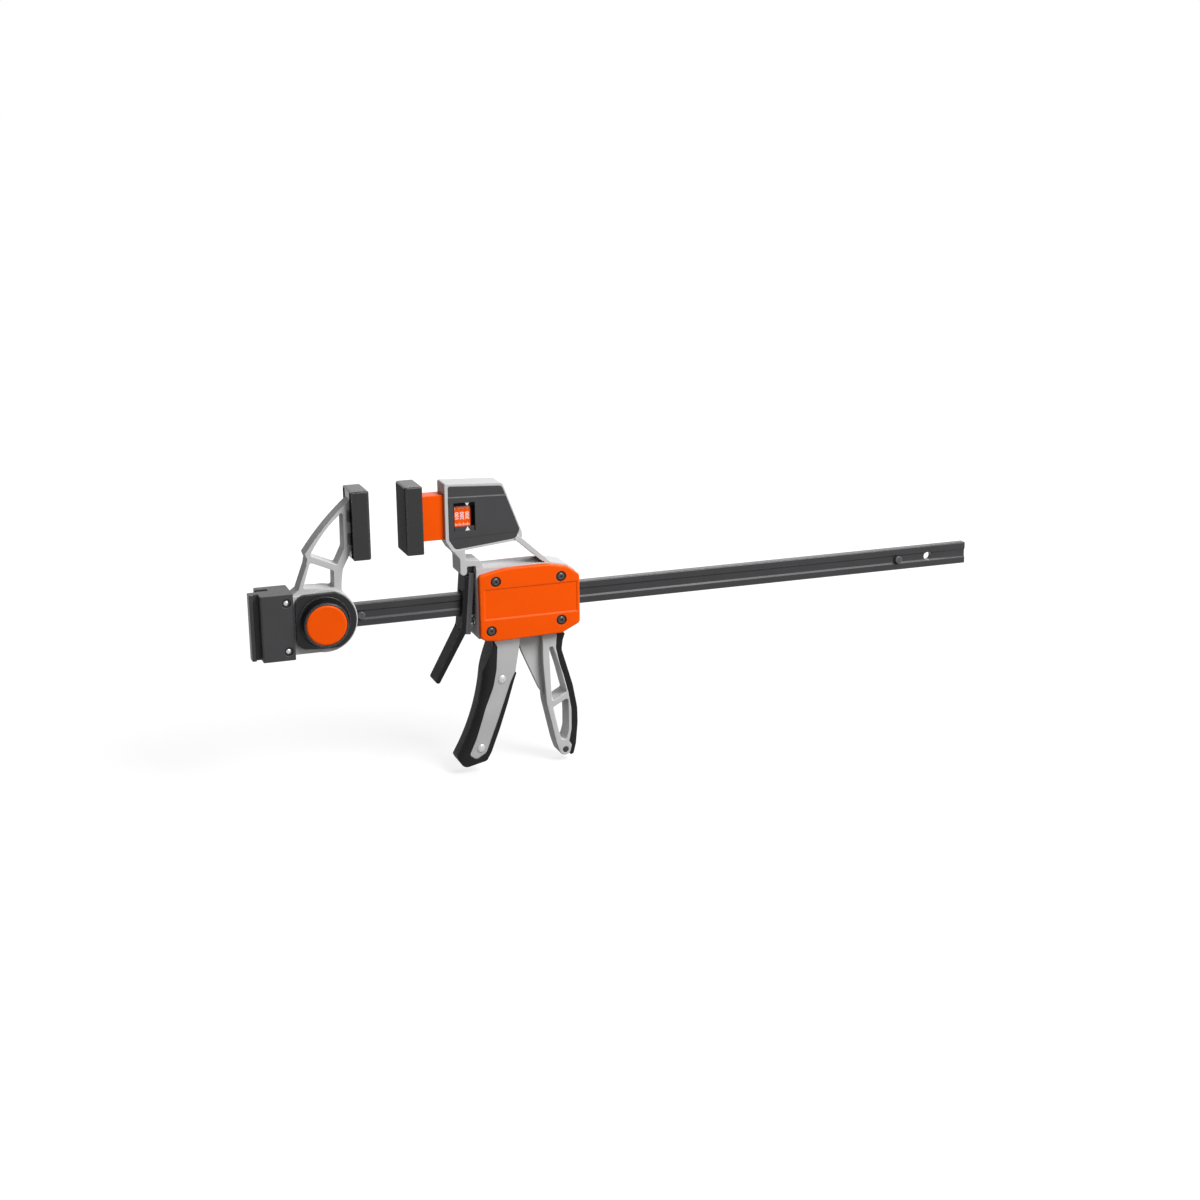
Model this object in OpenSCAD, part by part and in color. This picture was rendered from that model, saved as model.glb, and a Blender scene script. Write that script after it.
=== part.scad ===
// Quick release bar clamp: a fixed jaw pinned to one end of a grooved steel bar, and a
// trigger driven head that slides along it. Millimetres. The origin is the centre of the
// fixed jaw's clamping face. +X runs along the bar towards the head, +Y is towards the
// back of the clamp and +Z is up from the bar to the jaws.

/* [Bar] */
// Length of the bar
bar_length = 615; // [520:5:900]
// Height of the bar
bar_h = 19; // [15:0.5:23]
// Thickness of the bar
bar_t = 7.6; // [6:0.1:9.2]
// Depth of the groove along each side of the bar
groove_depth = 1; // [0.5:0.1:1.5]
// Radius of the lock hole and the hanging hole
bar_hole_r = 3.85; // [3:0.05:4.7]
// Distance from the near end of the bar to the lock hole
end_to_lock = 34.5; // [30:0.5:40]
// Distance from the far end of the bar to the hanging hole
end_to_hole = 36.5; // [30:0.5:44]
// Distance of the stop pins from the middle of the jaw's base and from the hanging hole
hole_to_pin = 30; // [29:0.5:40]
// Radius of the stop pins
stop_pin_r = 3.3; // [2.5:0.1:3.5]
// Overall length of a stop pin
stop_pin_length = 13; // [11:0.5:15]

/* [Jaws] */
// Distance that the jaws stand open
jaw_gap = 28.6; // [10:0.5:120]
// Height of the lower edge of the pads above the bar
pad_lift = 37.9; // [34:0.5:60]
// Height of a pad
pad_h = 56; // [50:0.5:68]
// Width of a pad
pad_w = 31.6; // [26:0.2:38]
// Thickness of a pad
pad_t = 14.4; // [11:0.2:17]
// Distance from the clamping face back to the lock hole
face_to_lock = 40.3; // [38:0.1:46]
// Width of the fixed jaw's frame
jaw_w = 15.6; // [12:0.2:19]

/* [End coupler] */
// Width of the coupler block
coupler_w = 31.6; // [26:0.2:38]
// Length of the coupler block along the bar
coupler_l = 26.1; // [22:0.1:31]
// Height of the coupler block
coupler_h = 54; // [48:0.5:60]
// Depth of the coupler's slot
slot_depth = 9.5; // [6:0.5:12]
// Width of the coupler's slot
slot_w = 6; // [5:0.1:7]

/* [Lock knob] */
// Radius of the knob
knob_r = 18.1; // [17:0.1:20]
// Radius of the coloured disc in the knob
disc_r = 16.4; // [13:0.1:16.6]
// Distance that the knob pulls out
knob_travel = 8; // [7:0.1:8.4]

/* [Head] */
// Width of the head's lower body
body_w = 25; // [23.6:0.2:29]
// Width of the head's upper housing
housing_w = 22; // [20:0.2:26]
// Width of the fixed handle
handle_w = 18; // [14:0.2:21]
// Thickness of a side cover
cover_t = 4.2; // [3.4:0.1:5]
// Thickness of a housing side panel
panel_t = 1.7; // [1.2:0.1:2.2]
// Visible length of the gauge block between the moving pad and the head
gauge_show = 19; // [14:0.1:24]
// Width of the gauge block
gauge_w = 15.8; // [13:0.2:16.4]
// Distance that the gauge block sinks into the head
gauge_travel = 6; // [4:0.5:6.5]

/* [Trigger and levers] */
// Distance between the outer faces of the trigger's side plates
trigger_w = 20.6; // [18:0.2:21]
// Thickness of a trigger side plate
plate_t = 2; // [1.2:0.1:2.4]
// Radius of the trigger's pivot pin
pivot_r = 3; // [2.4:0.1:3.6]
// Distance from the pivot pin to the middle of the bar
cam_arm = 21.5; // [20.5:0.5:23]
// Lean of the release lever when it grips the bar
lever_lean = 5; // [2:0.5:6]
// Width of the release lever
lever_w = 18.8; // [16:0.2:21]

/* [Hidden] */

$fn = 64;
round_steps = 5;      // flats in each rounded corner of an outline
fit = 0.08;           // radial clearance of a pin that turns or slides in its bore
slip = 0.3;           // clearance between faces that slide past each other
cast_wall = 1.7;      // side wall of the head's lower body

silver = [0.80, 0.80, 0.80];
steel = [0.62, 0.63, 0.65];
black = [0.13, 0.13, 0.14];
dark_steel = [0.22, 0.22, 0.23];
orange = [0.93, 0.33, 0.06];

// Stations along the bar
bar_top = bar_h / 2;
lock_x = -face_to_lock;
base_x = lock_x + 2;  // middle of the fixed jaw's round base
bar_left = lock_x - end_to_lock;
bar_right = bar_left + bar_length;
hang_x = bar_right - end_to_hole;
left_pin_x = base_x + hole_to_pin;
right_pin_x = hang_x - hole_to_pin;
jaw_z = bar_top + pad_lift + pad_h / 2;
head_x = jaw_gap + pad_t + gauge_show;
pad_recess = 1.2;     // depth of the hollows in a pad's back

// Fixed jaw and knob, each distance along Y from the bar's middle plane
base_half = 10.5;     // half width of the jaw's base round the bar
base_r = 26;          // radius of the jaw's round base
plate_thick = 3.5;
ridge_h = 1.2;        // height of the ring on the knob plate
guide_r = 9;          // outside of the spring guide on the knob plate
guide_bore = 6.4;
guide_wall = 1.5;
collar_r = 6;
collar_t = 1.8;
collar_seat = 6;      // the collar rests this far from the middle plane
collar_front = collar_seat + 0.1 + collar_t;
shut_spring = 3.1;    // room for the knob's spring when the knob is pulled out
guide_front = collar_front + knob_travel + shut_spring + guide_wall;
knob_front = guide_front + 3.5;
pin_stem_r = 2.5;

// Coupler hook
hook_reach = 7.5;     // how far the hook stands out of the block
hook_head = 3.6;      // thickness of the hook's head along X
dome_r = 2.5;         // domed heads of the coupler's screws
dome_h = 1.8;
dome_recess_r = 3.8;
dome_recess = 1.8;    // depth of the recess round each head
coupler_left = base_x - base_r - coupler_l;
lug_low = -24;        // lug of the jaw's base inside the coupler
lug_high = 22;

// Head, X measured from the left face of the upper housing, Z from the bar's middle
body_left = 24.3;
body_right = 109.5;
body_bottom = -28.5;
body_top = bar_top + 21.3;
cavity_left = 30;
cavity_right = 103;
cavity_top = body_top - 2.2;
cavity_step = 76;     // behind this the cavity is lower, under the strut's pocket
pivot_x = 56;
pivot_z = cam_arm;
cam_nose_r = 4;
hub_r = 5.2;
plate_gap = 0.3;      // between the cam's nose and the first drive plate
drive_plate_t = 3;
drive_plate_gap = 0.2;
drive_x = pivot_x + cam_nose_r + plate_gap;
spring_z = -bar_top - 5.7;
screw_places = [[39.3, 19.5], [95.2, 18.9], [95, -18.3], [34.6, -21.7]];
screw_head_r = 3.3;
screw_ring_r = 4.4;
screw_shank_r = 1.7;
lever_pivot = [21.7, bar_top + 21];
lever_face = 6.1;     // from the lever's pivot to its face towards the jaws
lever_t = 4;
brake_t = 2.1;
brake_neck = 4.6;     // how much narrower each side of a brake plate is at its top
gauge_low = jaw_z - 18.9;
gauge_high = jaw_z + 17.9;
gauge_pin_x = 34;
gauge_pin_r = 1.7;
stem_end = 39;
gauge_spring_end = 50;
handle_pin_at = [99.3, -134.4];
web_t = 5;            // thickness of the web in front of the handle

// ---------------------------------------------------------------- outlines

function unit(v) = v / norm(v);

// Points of the round that replaces corner b between corners a and c
function corner_arc(a, b, c, r) =
    let (
        u = unit(a - b),
        v = unit(c - b),
        half = acos(max(-1, min(1, u * v))) / 2,
        centre = b + unit(u + v) * r / sin(half),
        start = b + u * r / tan(half) - centre,
        first = atan2(start.y, start.x),
        way = u.x * v.y - u.y * v.x > 0 ? -1 : 1
    )
    [for (i = [0:round_steps])
        let (t = first + way * (180 - 2 * half) * i / round_steps)
        centre + r * [cos(t), sin(t)]];

// A closed outline from corners given as [x, z, radius]
function outline(corners) =
    let (n = len(corners))
    [for (i = [0:n - 1])
        let (a = corners[(i + n - 1) % n], b = corners[i], c = corners[(i + 1) % n])
        each b.z > 0
            ? corner_arc([a.x, a.y], [b.x, b.y], [c.x, c.y], b.z)
            : [[b.x, b.y]]];

// Points of a shallow arc from p to q that bulges by rise to the left of the way there
function bow(p, q, rise, steps) =
    let (
        chord = norm(q - p),
        r = (chord * chord / 4 + rise * rise) / (2 * rise),
        ahead = unit(q - p),
        left = [-ahead.y, ahead.x],
        centre = (p + q) / 2 + left * (rise - r),
        half = asin(chord / (2 * r))
    )
    [for (i = [0:steps])
        let (t = half * (1 - 2 * i / steps))
        centre + r * (left * cos(t) - ahead * sin(t))];

// ---------------------------------------------------------------- helpers

// Puts a shape, drawn with Z from the bar's middle, in the clamp's frame
module at_bar() {
    translate([0, 0, -jaw_z]) children();
}

// The same, with X from the left face of the head
module at_head() {
    translate([head_x, 0, -jaw_z]) children();
}

// A plate with an XZ outline, from y0 to y1
module plate(points, y0, y1) {
    translate([0, y1, 0]) rotate([90, 0, 0]) linear_extrude(y1 - y0) polygon(points);
}

// A plate centred on the middle plane
module centred(points, width) {
    plate(points, -width / 2, width / 2);
}

// A round bar along Y at a place in XZ, from y0 to y1
module rod(place, r, y0, y1) {
    translate([place.x, y1, place.y]) rotate([90, 0, 0]) cylinder(h = y1 - y0, r = r);
}

// A cone along Y, r0 at y0 and r1 at y1
module cone(place, r0, r1, y0, y1) {
    translate([place.x, y1, place.y]) rotate([90, 0, 0]) cylinder(h = y1 - y0, r1 = r1, r2 = r0);
}

// A box between two corners
module block(low, high) {
    translate(low) cube(high - low);
}

// Both a shape and its mirror image across the middle plane
module both_sides() {
    children();
    mirror([0, 1, 0]) children();
}

// A box with rounded vertical edges, centred on X and Y, standing on z0
module rounded_box(x0, x1, width, z0, z1, r) {
    corners = [[x0, -width / 2, r], [x1, -width / 2, r], [x1, width / 2, r], [x0, width / 2, r]];
    translate([0, 0, z0]) linear_extrude(z1 - z0) polygon(outline(corners));
}

// The bar's section, grown by a clearance, along X from x0 to x1
module bar_way(x0, x1, clear) {
    block([x0, -bar_t / 2 - clear, -bar_h / 2 - clear], [x1, bar_t / 2 + clear, bar_h / 2 + clear]);
}

// A compression spring along +Z from the origin, swept round its helix
module spring(length, mean_r, wire_r, turns) {
    sides = 6;
    per_turn = 14;
    rings = turns * per_turn;
    rise = length - 2 * wire_r;
    ring_points = [for (i = [0:rings]) for (j = [0:sides - 1])
        let (
            round_at = 360 * i / per_turn,
            off = mean_r + wire_r * cos(360 * j / sides)
        )
        [off * cos(round_at), off * sin(round_at),
            wire_r + rise * i / rings + wire_r * sin(360 * j / sides)]];
    walls = [for (i = [0:rings - 1]) for (j = [0:sides - 1])
        let (k = (j + 1) % sides)
        [i * sides + j, (i + 1) * sides + j, (i + 1) * sides + k, i * sides + k]];
    first_end = [for (j = [0:sides - 1]) j];
    last_end = [for (j = [sides - 1:-1:0]) rings * sides + j];
    polyhedron(ring_points, concat([first_end], walls, [last_end]), convexity = 10);
}

// ---------------------------------------------------------------- bar

module bar() {
    floor_z = bar_h * 0.14;
    lip_z = bar_h * 0.21;
    edge = 0.6;
    side = [
        [bar_t / 2 - edge, -bar_h / 2], [bar_t / 2, -bar_h / 2 + edge],
        [bar_t / 2, -lip_z], [bar_t / 2 - groove_depth, -floor_z],
        [bar_t / 2 - groove_depth, floor_z], [bar_t / 2, lip_z],
        [bar_t / 2, bar_h / 2 - edge], [bar_t / 2 - edge, bar_h / 2]
    ];
    other_side = [for (i = [len(side) - 1:-1:0]) [-side[i].x, side[i].y]];
    at_bar() color(dark_steel) difference() {
        translate([bar_left, 0, 0]) rotate([90, 0, 90])
            linear_extrude(bar_length) polygon(concat(side, other_side));
        for (x = [lock_x, hang_x]) rod([x, 0], bar_hole_r, -bar_t, bar_t);
        for (x = [left_pin_x, right_pin_x]) rod([x, 0], stop_pin_r, -bar_t, bar_t);
    }
}

module stop_pins() {
    half = stop_pin_length / 2;
    dome = 0.6;
    at_bar() color(dark_steel) for (x = [left_pin_x, right_pin_x]) {
        rod([x, 0], stop_pin_r, -half + dome, half - dome);
        cone([x, 0], stop_pin_r - dome, stop_pin_r, -half, -half + dome);
        cone([x, 0], stop_pin_r, stop_pin_r - dome, half - dome, half);
    }
}

// ---------------------------------------------------------------- fixed jaw

// Points of an outline's bow, as sharp corners
function bowed(p, q, rise, steps) = [for (c = bow(p, q, rise, steps)) [c.x, c.y, 0]];

// Outer edge of the jaw's truss
function jaw_outline() = outline(concat(
    bowed([-pad_t, jaw_z + 20.4], [-52, jaw_z - 20.6], -1.8, 8),
    [
        [-50.4, jaw_z - 25, 1], [-51.4, jaw_z - 30, 3], [-58.6, bar_top + 17, 4],
        [-61, bar_top + 8, 0], [-24, bar_top + 4, 0], [-23.4, bar_top + 19, 6],
        [-22, jaw_z - 35.4, 8], [-16.2, jaw_z - 24.4, 6], [-pad_t, jaw_z - 17.5, 3]
    ]
));

module fixed_jaw() {
    upper_window = outline(concat(
        [[-20, jaw_z + 9.6, 1]],
        bowed([-21.6, jaw_z + 10], [-47, jaw_z - 20.4], -1.8, 8),
        [[-46.6, jaw_z - 22.4, 1], [-26.6, jaw_z - 31.2, 1.5], [-20.4, jaw_z - 18.6, 6]]
    ));
    lower_window = outline([
        [-48, jaw_z - 27.5, 1.5], [-54.6, bar_top + 17.8, 1.5], [-29.6, bar_top + 16.3, 1.5],
        [-29.2, jaw_z - 35.8, 2]
    ]);
    at_bar() color(silver) difference() {
        union() {
            centred(jaw_outline(), jaw_w);
            rod([base_x, 0], base_r, -base_half, base_half);
            centred(outline([
                [bar_left - 0.2, lug_low, 1.5], [base_x - 10, lug_low, 0],
                [base_x + 16, bar_top + 11, 0], [base_x - 20, bar_top + 17, 3],
                [base_x - base_r, lug_high, 0], [bar_left - 0.2, lug_high, 1.5]
            ]), jaw_w);
            block([base_x - base_r, -base_half, -base_r + 0.5],
                  [base_x, base_half, bar_top + 13]);
        }
        centred(upper_window, jaw_w + 2);
        centred(lower_window, jaw_w + 2);
        bar_way(bar_left - 0.2, 0, 0.15);
        rod([lock_x, 0], bar_hole_r, -base_half - 1, 0);
        rod([lock_x, 0], guide_bore, -base_half - 1, -collar_seat);
        for (z = coupler_screw_z()) rod([coupler_screw_x(), z], 1.9, -base_half, base_half);
        for (p = plate_screw_places()) rod(p, 1.2, -base_half - 1, -base_half + 5);
    }
}

module fixed_pad() {
    lip = 2.6;
    clip_t = 1.5;
    at_bar() color(black) {
        pad_solid(-pad_t, 0, -pad_t, jaw_w + 0.2);
        // Clips that reach back over the jaw's flange
        both_sides() for (z = [jaw_z - 11, jaw_z + 7.5])
            block([-pad_t - lip, jaw_w / 2 + 0.1, z - 4.4],
                  [-pad_t + pad_recess + 1, jaw_w / 2 + 0.1 + clip_t, z + 4.4]);
    }
}

// A jaw pad from x0 to x1, hollowed in its back round the land that it is carried by
module pad_solid(x0, x1, back, land) {
    rim = 1.5;
    low = jaw_z - pad_h / 2;
    high = jaw_z + pad_h / 2;
    difference() {
        rounded_box(x0, x1, pad_w, low, high, 1.6);
        difference() {
            block([back - pad_recess, -pad_w / 2 + rim, low + rim],
                  [back + pad_recess, pad_w / 2 - rim, high - rim]);
            block([back - 2 * pad_recess, -land / 2, low],
                  [back + 2 * pad_recess, land / 2, high]);
        }
    }
}

// ---------------------------------------------------------------- end coupler

function coupler_screw_x() = base_x - base_r - 5.8;
function coupler_screw_z() = [18.8, -20.5];
hook_back = slot_w - 8.5 + 4;
hook_front = -8.5;

module end_coupler() {
    right = base_x - base_r;
    z0 = -coupler_h / 2 - 1;
    z1 = coupler_h / 2 - 1;
    plan = outline([
        [coupler_left, -coupler_w / 2, 1.5], [right, -coupler_w / 2, 1.5],
        [right, coupler_w / 2, 1.5], [coupler_left, coupler_w / 2, 1.5],
        [coupler_left, 8.5, 0.4], [coupler_left + slot_depth, 8.5, 0.4],
        [coupler_left + slot_depth, 8.5 - slot_w, 0.4], [coupler_left, 8.5 - slot_w, 0.4],
        [coupler_left, hook_back, 0], [coupler_left - hook_reach, hook_back, 0.8],
        [coupler_left - hook_reach, hook_front, 0.8],
        [coupler_left - hook_reach + hook_head, hook_front, 0.8],
        [coupler_left - hook_reach + hook_head, hook_front + 3, 0.4],
        [coupler_left, hook_front + 3, 0.4]
    ]);
    at_bar() color(black) difference() {
        translate([0, 0, z0]) linear_extrude(z1 - z0) polygon(plan);
        block([bar_left - 0.3, -jaw_w / 2 - 0.1, lug_low - 0.1],
              [right + 1, jaw_w / 2 + 0.1, lug_high + 0.1]);
        for (z = coupler_screw_z()) {
            rod([coupler_screw_x(), z], 1.9, -coupler_w, coupler_w);
            both_sides()
                rod([coupler_screw_x(), z], dome_recess_r, -coupler_w, -coupler_w / 2 + dome_recess);
        }
    }
}

module coupler_screws() {
    seat = coupler_w / 2 - dome_recess;
    at_bar() color(silver) for (z = coupler_screw_z()) {
        place = [coupler_screw_x(), z];
        rod(place, 1.8, -seat, seat);
        both_sides() {
            cone(place, dome_r - 1, dome_r, -seat - dome_h, -seat - dome_h / 2);
            rod(place, dome_r, -seat - dome_h / 2, -seat);
        }
    }
}

// ---------------------------------------------------------------- lock knob

function plate_screw_places() = [[lock_x - 10, -10], [lock_x + 10, 10]];

module knob_plate() {
    rim = 24.4;
    front = base_half + plate_thick;
    at_bar() color(black) difference() {
        union() {
            intersection() {
                union() {
                    rod([base_x, 0.5], rim, -front, -base_half);
                    block([base_x - rim, -front, -rim], [base_x, -base_half, rim]);
                }
                plate(outline([
                    [base_x - rim, -20.4, 8], [base_x - 5, -22, 20], [base_x + rim + 1, -22, 0],
                    [base_x + rim + 1, 23.6, 0], [base_x - rim, 23.4, 8]
                ]), -front, -base_half);
            }
            rod([lock_x, 0], knob_r + 3.1, -front - ridge_h, -front);
            rod([lock_x, 0], guide_r, -guide_front, -front);
        }
        difference() {
            rod([lock_x, 0], knob_r + 1.7, -front - ridge_h - 1, -front);
            rod([lock_x, 0], guide_r, -guide_front, -front + 1);
        }
        rod([lock_x, 0], guide_bore, -guide_front + guide_wall, 0);
        rod([lock_x, 0], pin_stem_r + fit, -guide_front - 1, 0);
        for (p = plate_screw_places()) {
            rod(p, 1.6, -front - 1, 0);
            cone(p, 3, 1.6, -front, -front + 1.4);
        }
    }
}

module plate_screws() {
    front = base_half + plate_thick;
    at_bar() color(steel) for (p = plate_screw_places()) {
        rod(p, 1.2, -front, -base_half + 5);
        cone(p, 2.9, 1.2, -front, -front + 1.7);
    }
}

module knob() {
    back = base_half + plate_thick + 0.4;
    web_back = guide_front + 0.5;
    at_bar() color(black) difference() {
        union() {
            rod([lock_x, 0], knob_r, -knob_front + 0.8, -back);
            cone([lock_x, 0], knob_r - 0.8, knob_r, -knob_front, -knob_front + 0.8);
        }
        rod([lock_x, 0], knob_r - 2.2, -web_back, 0);
        rod([lock_x, 0], disc_r, -knob_front - 1, -web_back - 1.2);
        rod([lock_x, 0], pin_stem_r, -knob_front, 0);
    }
}

module knob_disc() {
    seat = guide_front + 1.7;
    at_bar() color(orange) difference() {
        union() {
            rod([lock_x, 0], disc_r - 0.15, -knob_front, -seat);
            cone([lock_x, 0], disc_r - 1.2, disc_r - 0.6, -knob_front - 0.5, -knob_front);
        }
        rod([lock_x, 0], 4.3, -seat - 1.2, 0);
    }
}

module lock_pin() {
    tip = bar_t / 2 - 0.5;
    head_seat = guide_front + 1.7;
    at_bar() color(steel) {
        rod([lock_x, 0], bar_hole_r - fit, -collar_seat - 0.1, tip - 0.8);
        cone([lock_x, 0], bar_hole_r - fit, bar_hole_r - fit - 0.8, tip - 0.8, tip);
        rod([lock_x, 0], collar_r, -collar_front, -collar_seat - 0.1);
        rod([lock_x, 0], pin_stem_r, -head_seat, -collar_front);
        rod([lock_x, 0], 4, -head_seat - 1, -head_seat);
    }
}

module knob_spring() {
    at_bar() color(steel) translate([lock_x, -collar_front, 0]) rotate([90, 0, 0])
        spring(guide_front - guide_wall - collar_front, 4.5, 0.35, 3);
}

// ---------------------------------------------------------------- head casting

function housing_corners() = [
    [0.2, jaw_z + 27.2, 1.5], [48.6, jaw_z + 24.8, 4], [64.2, jaw_z - 17, 5],
    [64.6, jaw_z - 23.6, 3], [56, jaw_z - 24.4, 0], [15, jaw_z - 28.4, 0],
    [5.6, jaw_z - 29.2, 1], [0, jaw_z - 19.4, 2]
];

function panel_corners() = [
    [3, jaw_z + 25, 1.5], [48, jaw_z + 22.3, 3.5], [62.4, jaw_z - 15.6, 5],
    [58, jaw_z - 22.4, 4], [8, jaw_z - 27.4, 4], [3, jaw_z - 19.6, 2]
];

// Leg, roof of the lever's pocket, lower body and strut, round the open triangle
function lower_corners() = [
    [5.4, jaw_z - 28, 0], [11.2, bar_top + 30.9, 5], [11.2, bar_top + 16.8, 2.6],
    [16.7, bar_top + 16.8, 2.6], [16.7, bar_top + 23.9, 1], [body_left, bar_top + 23.9, 1],
    [body_left, body_bottom, 1.5], [95, body_bottom, 6], [body_right, -20.5, 3],
    [body_right, bar_top + 12.4, 4], [101.1, bar_top + 18.4, 12], [87.6, body_top, 4],
    [82.8, bar_top + 25.8, 0], [64.4, jaw_z - 23, 0], [58, jaw_z - 18, 0],
    [58, jaw_z - 22.8, 0], [79.4, bar_top + 23.8, 0], [83.4, body_top, 0],
    [83.4, body_top - 1, 0], [30.6, body_top, 1.5], [28, bar_top + 28.2, 1.5],
    [16, bar_top + 29.2, 2.5], [15.8, jaw_z - 27, 0]
];

// Body behind the covers
function body_corners() = [
    [body_left, body_bottom, 1.5], [95, body_bottom, 6], [body_right, -20.5, 3],
    [body_right, bar_top + 12.4, 4], [101.1, bar_top + 18.4, 12], [87.4, body_top, 20],
    [body_left, body_top, 1]
];

// Pocket in the body's top, under the strut
function strut_pocket() = [
    [78.6, body_top - 5.4], [83.2, body_top - 5.4], [83.2, body_top - 0.2], [78.6, bar_top + 24.6]
];

function handle_corners() = [
    [80.5, -24, 0], [80.6, -56, 20], [83.2, -92, 25], [91, -127, 20], [95, -139.2, 5],
    [103, -139.2, 4.5], [104.8, -131, 0], [102.6, -127.2, 0], [104.8, -117, 30],
    [105, -99, 30], [102.5, -84, 20], [98.8, -69.5, 30], [95.2, -57.6, 20],
    [92.2, -44, 8], [93.4, -31, 0], [96, -24, 0]
];

function upper_handle_window() = outline([
    [86.4, -43, 0.8], [89.4, -43, 0.8], [95.4, -62, 12], [100.8, -83.4, 1.5], [87.9, -90.6, 1.5]
]);

function lower_handle_window() = outline([
    [89, -95.8, 1.2], [102, -89, 1.5], [102.4, -104, 10], [102.2, -117.4, 12],
    [99.8, -125.8, 2], [95.4, -124.8, 2], [91.4, -107.2, 10]
]);

// Thin web between the lower body and the handle's front rib
function web_corners() = [
    [57, -24, 0], [64.4, -46.9, 1], [78.4, -79.4, 2], [82.4, -86, 0], [81, -24, 0]
];

module head_casting() {
    half = body_w / 2;
    inner = half - cast_wall;
    at_head() color(silver) difference() {
        union() {
            centred(outline(housing_corners()), housing_w);
            centred(outline(lower_corners()), body_w - 1);
            centred(outline(body_corners()), body_w);
            centred(outline(web_corners()), web_t);
        }
        // Cavity for the drive, open below where the trigger swings
        difference() {
            centred(outline([
                [cavity_left, body_bottom - 1, 0], [76, body_bottom - 1, 0], [76, -22, 1],
                [cavity_right, -22, 2], [cavity_right, cavity_top - 6.4, 2],
                [cavity_step, cavity_top - 6.4, 0], [cavity_step, cavity_top, 1],
                [cavity_left, cavity_top, 2]
            ]), 2 * inner);
            for (p = screw_places) both_sides() rod(p, 3.6, -half, -half + 6);
            centred(outline(web_corners()), web_t);
        }
        // The web goes on below as part of the handle
        block([50, -web_t, -100], [100, web_t, body_bottom]);
        bar_way(0, body_right + 1, 0.25);
        rod([pivot_x, pivot_z], pivot_r, -half - 1, half + 1);
        for (p = screw_places) both_sides() rod(p, screw_shank_r, -half - 1, -half + 5.6);
        translate([body_left - 1, 0, spring_z]) rotate([0, 90, 0]) cylinder(h = 4.5, r = 4.2);
        translate([cavity_right - 1, 0, spring_z]) rotate([0, 90, 0]) cylinder(h = 3, r = 4.4);
        centred(strut_pocket(), body_w - 6);
        housing_cuts();
    }
}

module handle() {
    at_head() color(silver) difference() {
        union() {
            centred(outline(handle_corners()), handle_w);
            centred(outline(web_corners()), web_t);
        }
        block([50, -handle_w, body_bottom], [110, handle_w, 0]);
        centred(upper_handle_window(), handle_w + 2);
        centred(lower_handle_window(), handle_w + 2);
        rod(handle_pin_at, 2.4, -handle_w, handle_w);
    }
}

// Gauge bore, spring bore, windows and panel seats of the upper housing
module housing_cuts() {
    block([-1, -gauge_w / 2 - slip, gauge_low - slip],
          [gauge_travel + 1.5, gauge_w / 2 + slip, gauge_high + slip]);
    block([-1, -gauge_w / 2 - slip, gauge_low + 7 - slip],
          [stem_end + gauge_travel + 1, gauge_w / 2 + slip, gauge_high - 6 + slip]);
    translate([stem_end, 0, jaw_z]) rotate([0, 90, 0])
        cylinder(h = gauge_spring_end - stem_end, r = 5.2);
    rod([gauge_pin_x, jaw_z], gauge_pin_r, -housing_w, housing_w);
    both_sides() plate(outline(panel_corners()), -housing_w, -housing_w / 2 + panel_t - 0.5);
    centred(window_corners(0.6), housing_w + 2);
}

// Opening in front of the scale, grown by a margin
function window_corners(grow) = [
    [8 - grow, jaw_z - 8.6 - grow], [24.4 + grow, jaw_z - 8.6 - grow],
    [24.4 + grow, jaw_z + 8.4 + grow], [8 - grow, jaw_z + 8.4 + grow]
];

module housing_panel(side) {
    seat = housing_w / 2 - panel_t + 0.5;
    face = housing_w / 2 + 0.5;
    step = 0.5;
    at_head() color(black) mirror([0, side > 0 ? 1 : 0, 0]) difference() {
        union() {
            plate(outline(panel_corners()), -face + step, -seat);
            intersection() {
                plate(outline(panel_corners()), -face, -seat);
                plate([
                    [0, jaw_z - 18.2], [70, jaw_z - 16.2], [70, jaw_z + 13.6], [0, jaw_z + 15.6]
                ], -face, 0);
            }
        }
        plate(window_corners(0), -housing_w, 0);
        plate([
            [7.2, jaw_z - 12.4], [25, jaw_z - 12.4], [25, jaw_z + 11], [7.2, jaw_z + 11]
        ], -housing_w, -face + 1);
    }
}

module housing_panel_front() {
    housing_panel(0);
}

module housing_panel_back() {
    housing_panel(1);
}

// ---------------------------------------------------------------- covers

function cover_corners() = [
    [25.4, -27.4, 4], [30, -29.8, 5], [41, -31, 8], [95.6, -29.6, 8], [111.4, -22, 4],
    [111.4, bar_top + 9.6, 4], [100.6, bar_top + 17.3, 12], [84, bar_top + 20.8, 40],
    [48, bar_top + 20.6, 50], [25.2, bar_top + 15.9, 3]
];

module side_cover(side) {
    seat = body_w / 2;
    face = seat + cover_t;
    band = 0.7;
    at_head() color(orange) mirror([0, side > 0 ? 1 : 0, 0]) difference() {
        plate(outline(cover_corners()), -face, -seat);
        // Shallow band across the face
        block([29, -face - 1, -12.4], [109.4, -face + band, 14]);
        // Hollow back
        plate(outline([
            [42, -26, 3], [90, -25, 3], [107.5, -12, 3], [107.5, 12, 3], [90, 24, 3], [46, 24, 3],
            [29, 13, 3], [29, -14, 3]
        ]), -face + 2.4, 0);
        for (p = screw_places) {
            rod(p, screw_shank_r + 0.3, -face - 1, 0);
            rod(p, screw_ring_r, -face - 1, -face + 1.7);
        }
    }
}

module side_cover_front() {
    side_cover(0);
}

module side_cover_back() {
    side_cover(1);
}

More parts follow.
